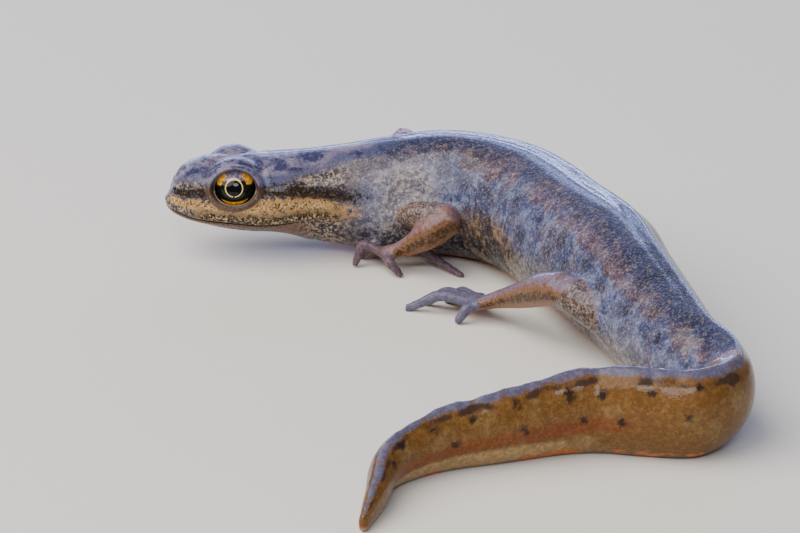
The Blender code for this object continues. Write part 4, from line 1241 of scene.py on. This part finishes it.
def floor_material():
    """A plain matt floor of pale card."""
    made, tree = new_material("pale floor")
    shader = node(tree, "ShaderNodeBsdfPrincipled", Base_Color="dcdad5", Roughness=0.8)
    node(tree, "ShaderNodeOutputMaterial", Surface=shader)
    return made


def placed(obj, material):
    """Brings a piece from millimetres to its real size and place, and gives it its material."""
    obj.data.transform(Matrix.Scale(MM, 4) @ Matrix.Translation(-Vector(CENTRE)))
    obj.data.materials.clear()
    obj.data.materials.append(material)
    for face in obj.data.polygons:
        face.use_smooth = True
        face.material_index = 0
    return obj


def make_eye(name, side):
    """The eyeball with its cornea's slight bulge, and a map of the iris as seen along the gaze."""
    middle = eye_place(side)
    across, height, out = eye_axes(side)
    shape = bmesh.new()
    bmesh.ops.create_uvsphere(shape, u_segments=96, v_segments=64, radius=1)
    iris = shape.loops.layers.uv.new("Iris")
    for face in shape.faces:
        for loop in face.loops:
            x, y, z = loop.vert.co
            # the back of the ball lies outside the iris on the map
            wider = 1 if z >= 0 else (1 + 0.2 * -z) * (1 / max(math.hypot(x, y), 1e-6))
            loop[iris].uv = (0.5 + 0.5 * x * wider, 0.5 + 0.5 * y * wider)
    for vert in shape.verts:
        x, y, z = vert.co
        bulge = 1 + CORNEA_BULGE * float(smooth(z, 0.55, 1.0))
        vert.co = middle + EYE_R * bulge * (across * x + height * y + out * z)
    bmesh.ops.recalc_face_normals(shape, faces=shape.faces)
    return object_from(name, shape)


def lid_rim(name, side, tree, inputs):
    """The thin moist rim along the edge of the lids, where they meet the eyeball."""
    middle = eye_place(side)
    across, height, out = eye_axes(side)
    points = []
    for turn in np.linspace(0, 2 * math.pi, RIM_POINTS, endpoint=False):
        x, y = LID_OPENING[0] * math.cos(turn), LID_OPENING[1] * math.sin(turn)
        # the opening flares, so its edge on the eyeball is found by a few steps
        z = 0.8
        for _ in range(12):
            flare = 1 + LID_FLARE * z
            z = math.sqrt(max(EYE_R**2 - (x * flare) ** 2 - (y * flare) ** 2, 0.01))
        edge = across * x * flare + height * y * flare + out * z
        points.append(middle + edge * (1 + RIM_PROUD * LID_RIM_R / EYE_R))
    radii = [LID_RIM_R] * len(points)
    return swept(name, points, radii, tree, inputs, closed=True, Sides=RIM_SIDES, Spacing=RIM_STEP)


def area_light(name, place, size, watts, colour):
    """A soft light, turned towards the newt."""
    data = bpy.data.lights.new(name, "AREA")
    data.shape = "ELLIPSE"
    data.size, data.size_y = size
    data.energy = watts
    data.color = linear(colour)[:3]
    made = bpy.data.objects.new(name, data)
    made.location = place
    made.rotation_euler = (LIT_PLACE - Vector(place)).to_track_quat("-Z", "Y").to_euler()
    bpy.context.scene.collection.objects.link(made)


def stage_and_light():
    """A pale floor that rises softly behind, the lights, and the studio's even pale glow."""
    shape = bmesh.new()
    profile = [(-FLOOR_REACH, 0.0), (FLOOR_BACK, 0.0)]
    for i in range(1, FLOOR_STEPS + 1):
        turn = math.pi / 2 * i / FLOOR_STEPS
        profile.append((FLOOR_BACK + FLOOR_RISE * math.sin(turn), FLOOR_RISE * (1 - math.cos(turn))))
    profile.append((FLOOR_BACK + FLOOR_RISE, FLOOR_TOP))
    rows = [[shape.verts.new((x, y, z)) for x in (-FLOOR_REACH, FLOOR_REACH)] for y, z in profile]
    for a, b in zip(rows, rows[1:]):
        shape.faces.new((a[0], a[1], b[1], b[0]))
    floor = object_from("floor", shape)
    for face in floor.data.polygons:
        face.use_smooth = True
    floor.data.materials.append(floor_material())
    for name, (place, size, watts, colour) in LIGHTS.items():
        area_light(name, place, size, watts, colour)
    world = bpy.data.worlds.new("studio")
    bpy.context.scene.world = world
    world.use_nodes = True
    background = world.node_tree.nodes["Background"]
    background.inputs["Color"].default_value = linear(STUDIO_COLOUR)
    background.inputs["Strength"].default_value = STUDIO_STRENGTH


def make_camera():
    """The camera, low in front of the newt's side and aimed at the floor beside its shoulders."""
    target = -Vector(CENTRE) * MM
    tilt = math.radians(VIEW_ELEVATION)
    data = bpy.data.cameras.new("camera")
    data.lens, data.sensor_width = VIEW_LENS, VIEW_SENSOR
    data.clip_start, data.clip_end = 0.01, 10
    made = bpy.data.objects.new("camera", data)
    made.location = target + Vector((0, -math.cos(tilt), math.sin(tilt))) * VIEW_DISTANCE * MM
    made.rotation_euler = (math.pi / 2 - tilt, 0, 0)
    bpy.context.scene.collection.objects.link(made)
    bpy.context.scene.camera = made


def main():
    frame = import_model()
    make_camera()
    stage_and_light()
    skin = placed(make_skin(), newt_skin_material())
    flesh = [name for name in frame["nodes"] if not name.startswith("eye_")]
    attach(skin, "root")
    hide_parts(*flesh)
    tree, inputs = tube_tree()
    wet, edge = wet_eye_material(), lid_material()
    for name, side in (("right", 1), ("left", -1)):
        eye = placed(make_eye("eyeball_" + name, side), wet)
        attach(eye, "root")
        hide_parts("eye_" + name)
        rim = placed(lid_rim("lid_rim_" + name, side, tree, inputs), edge)
        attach(rim, "root")


main()
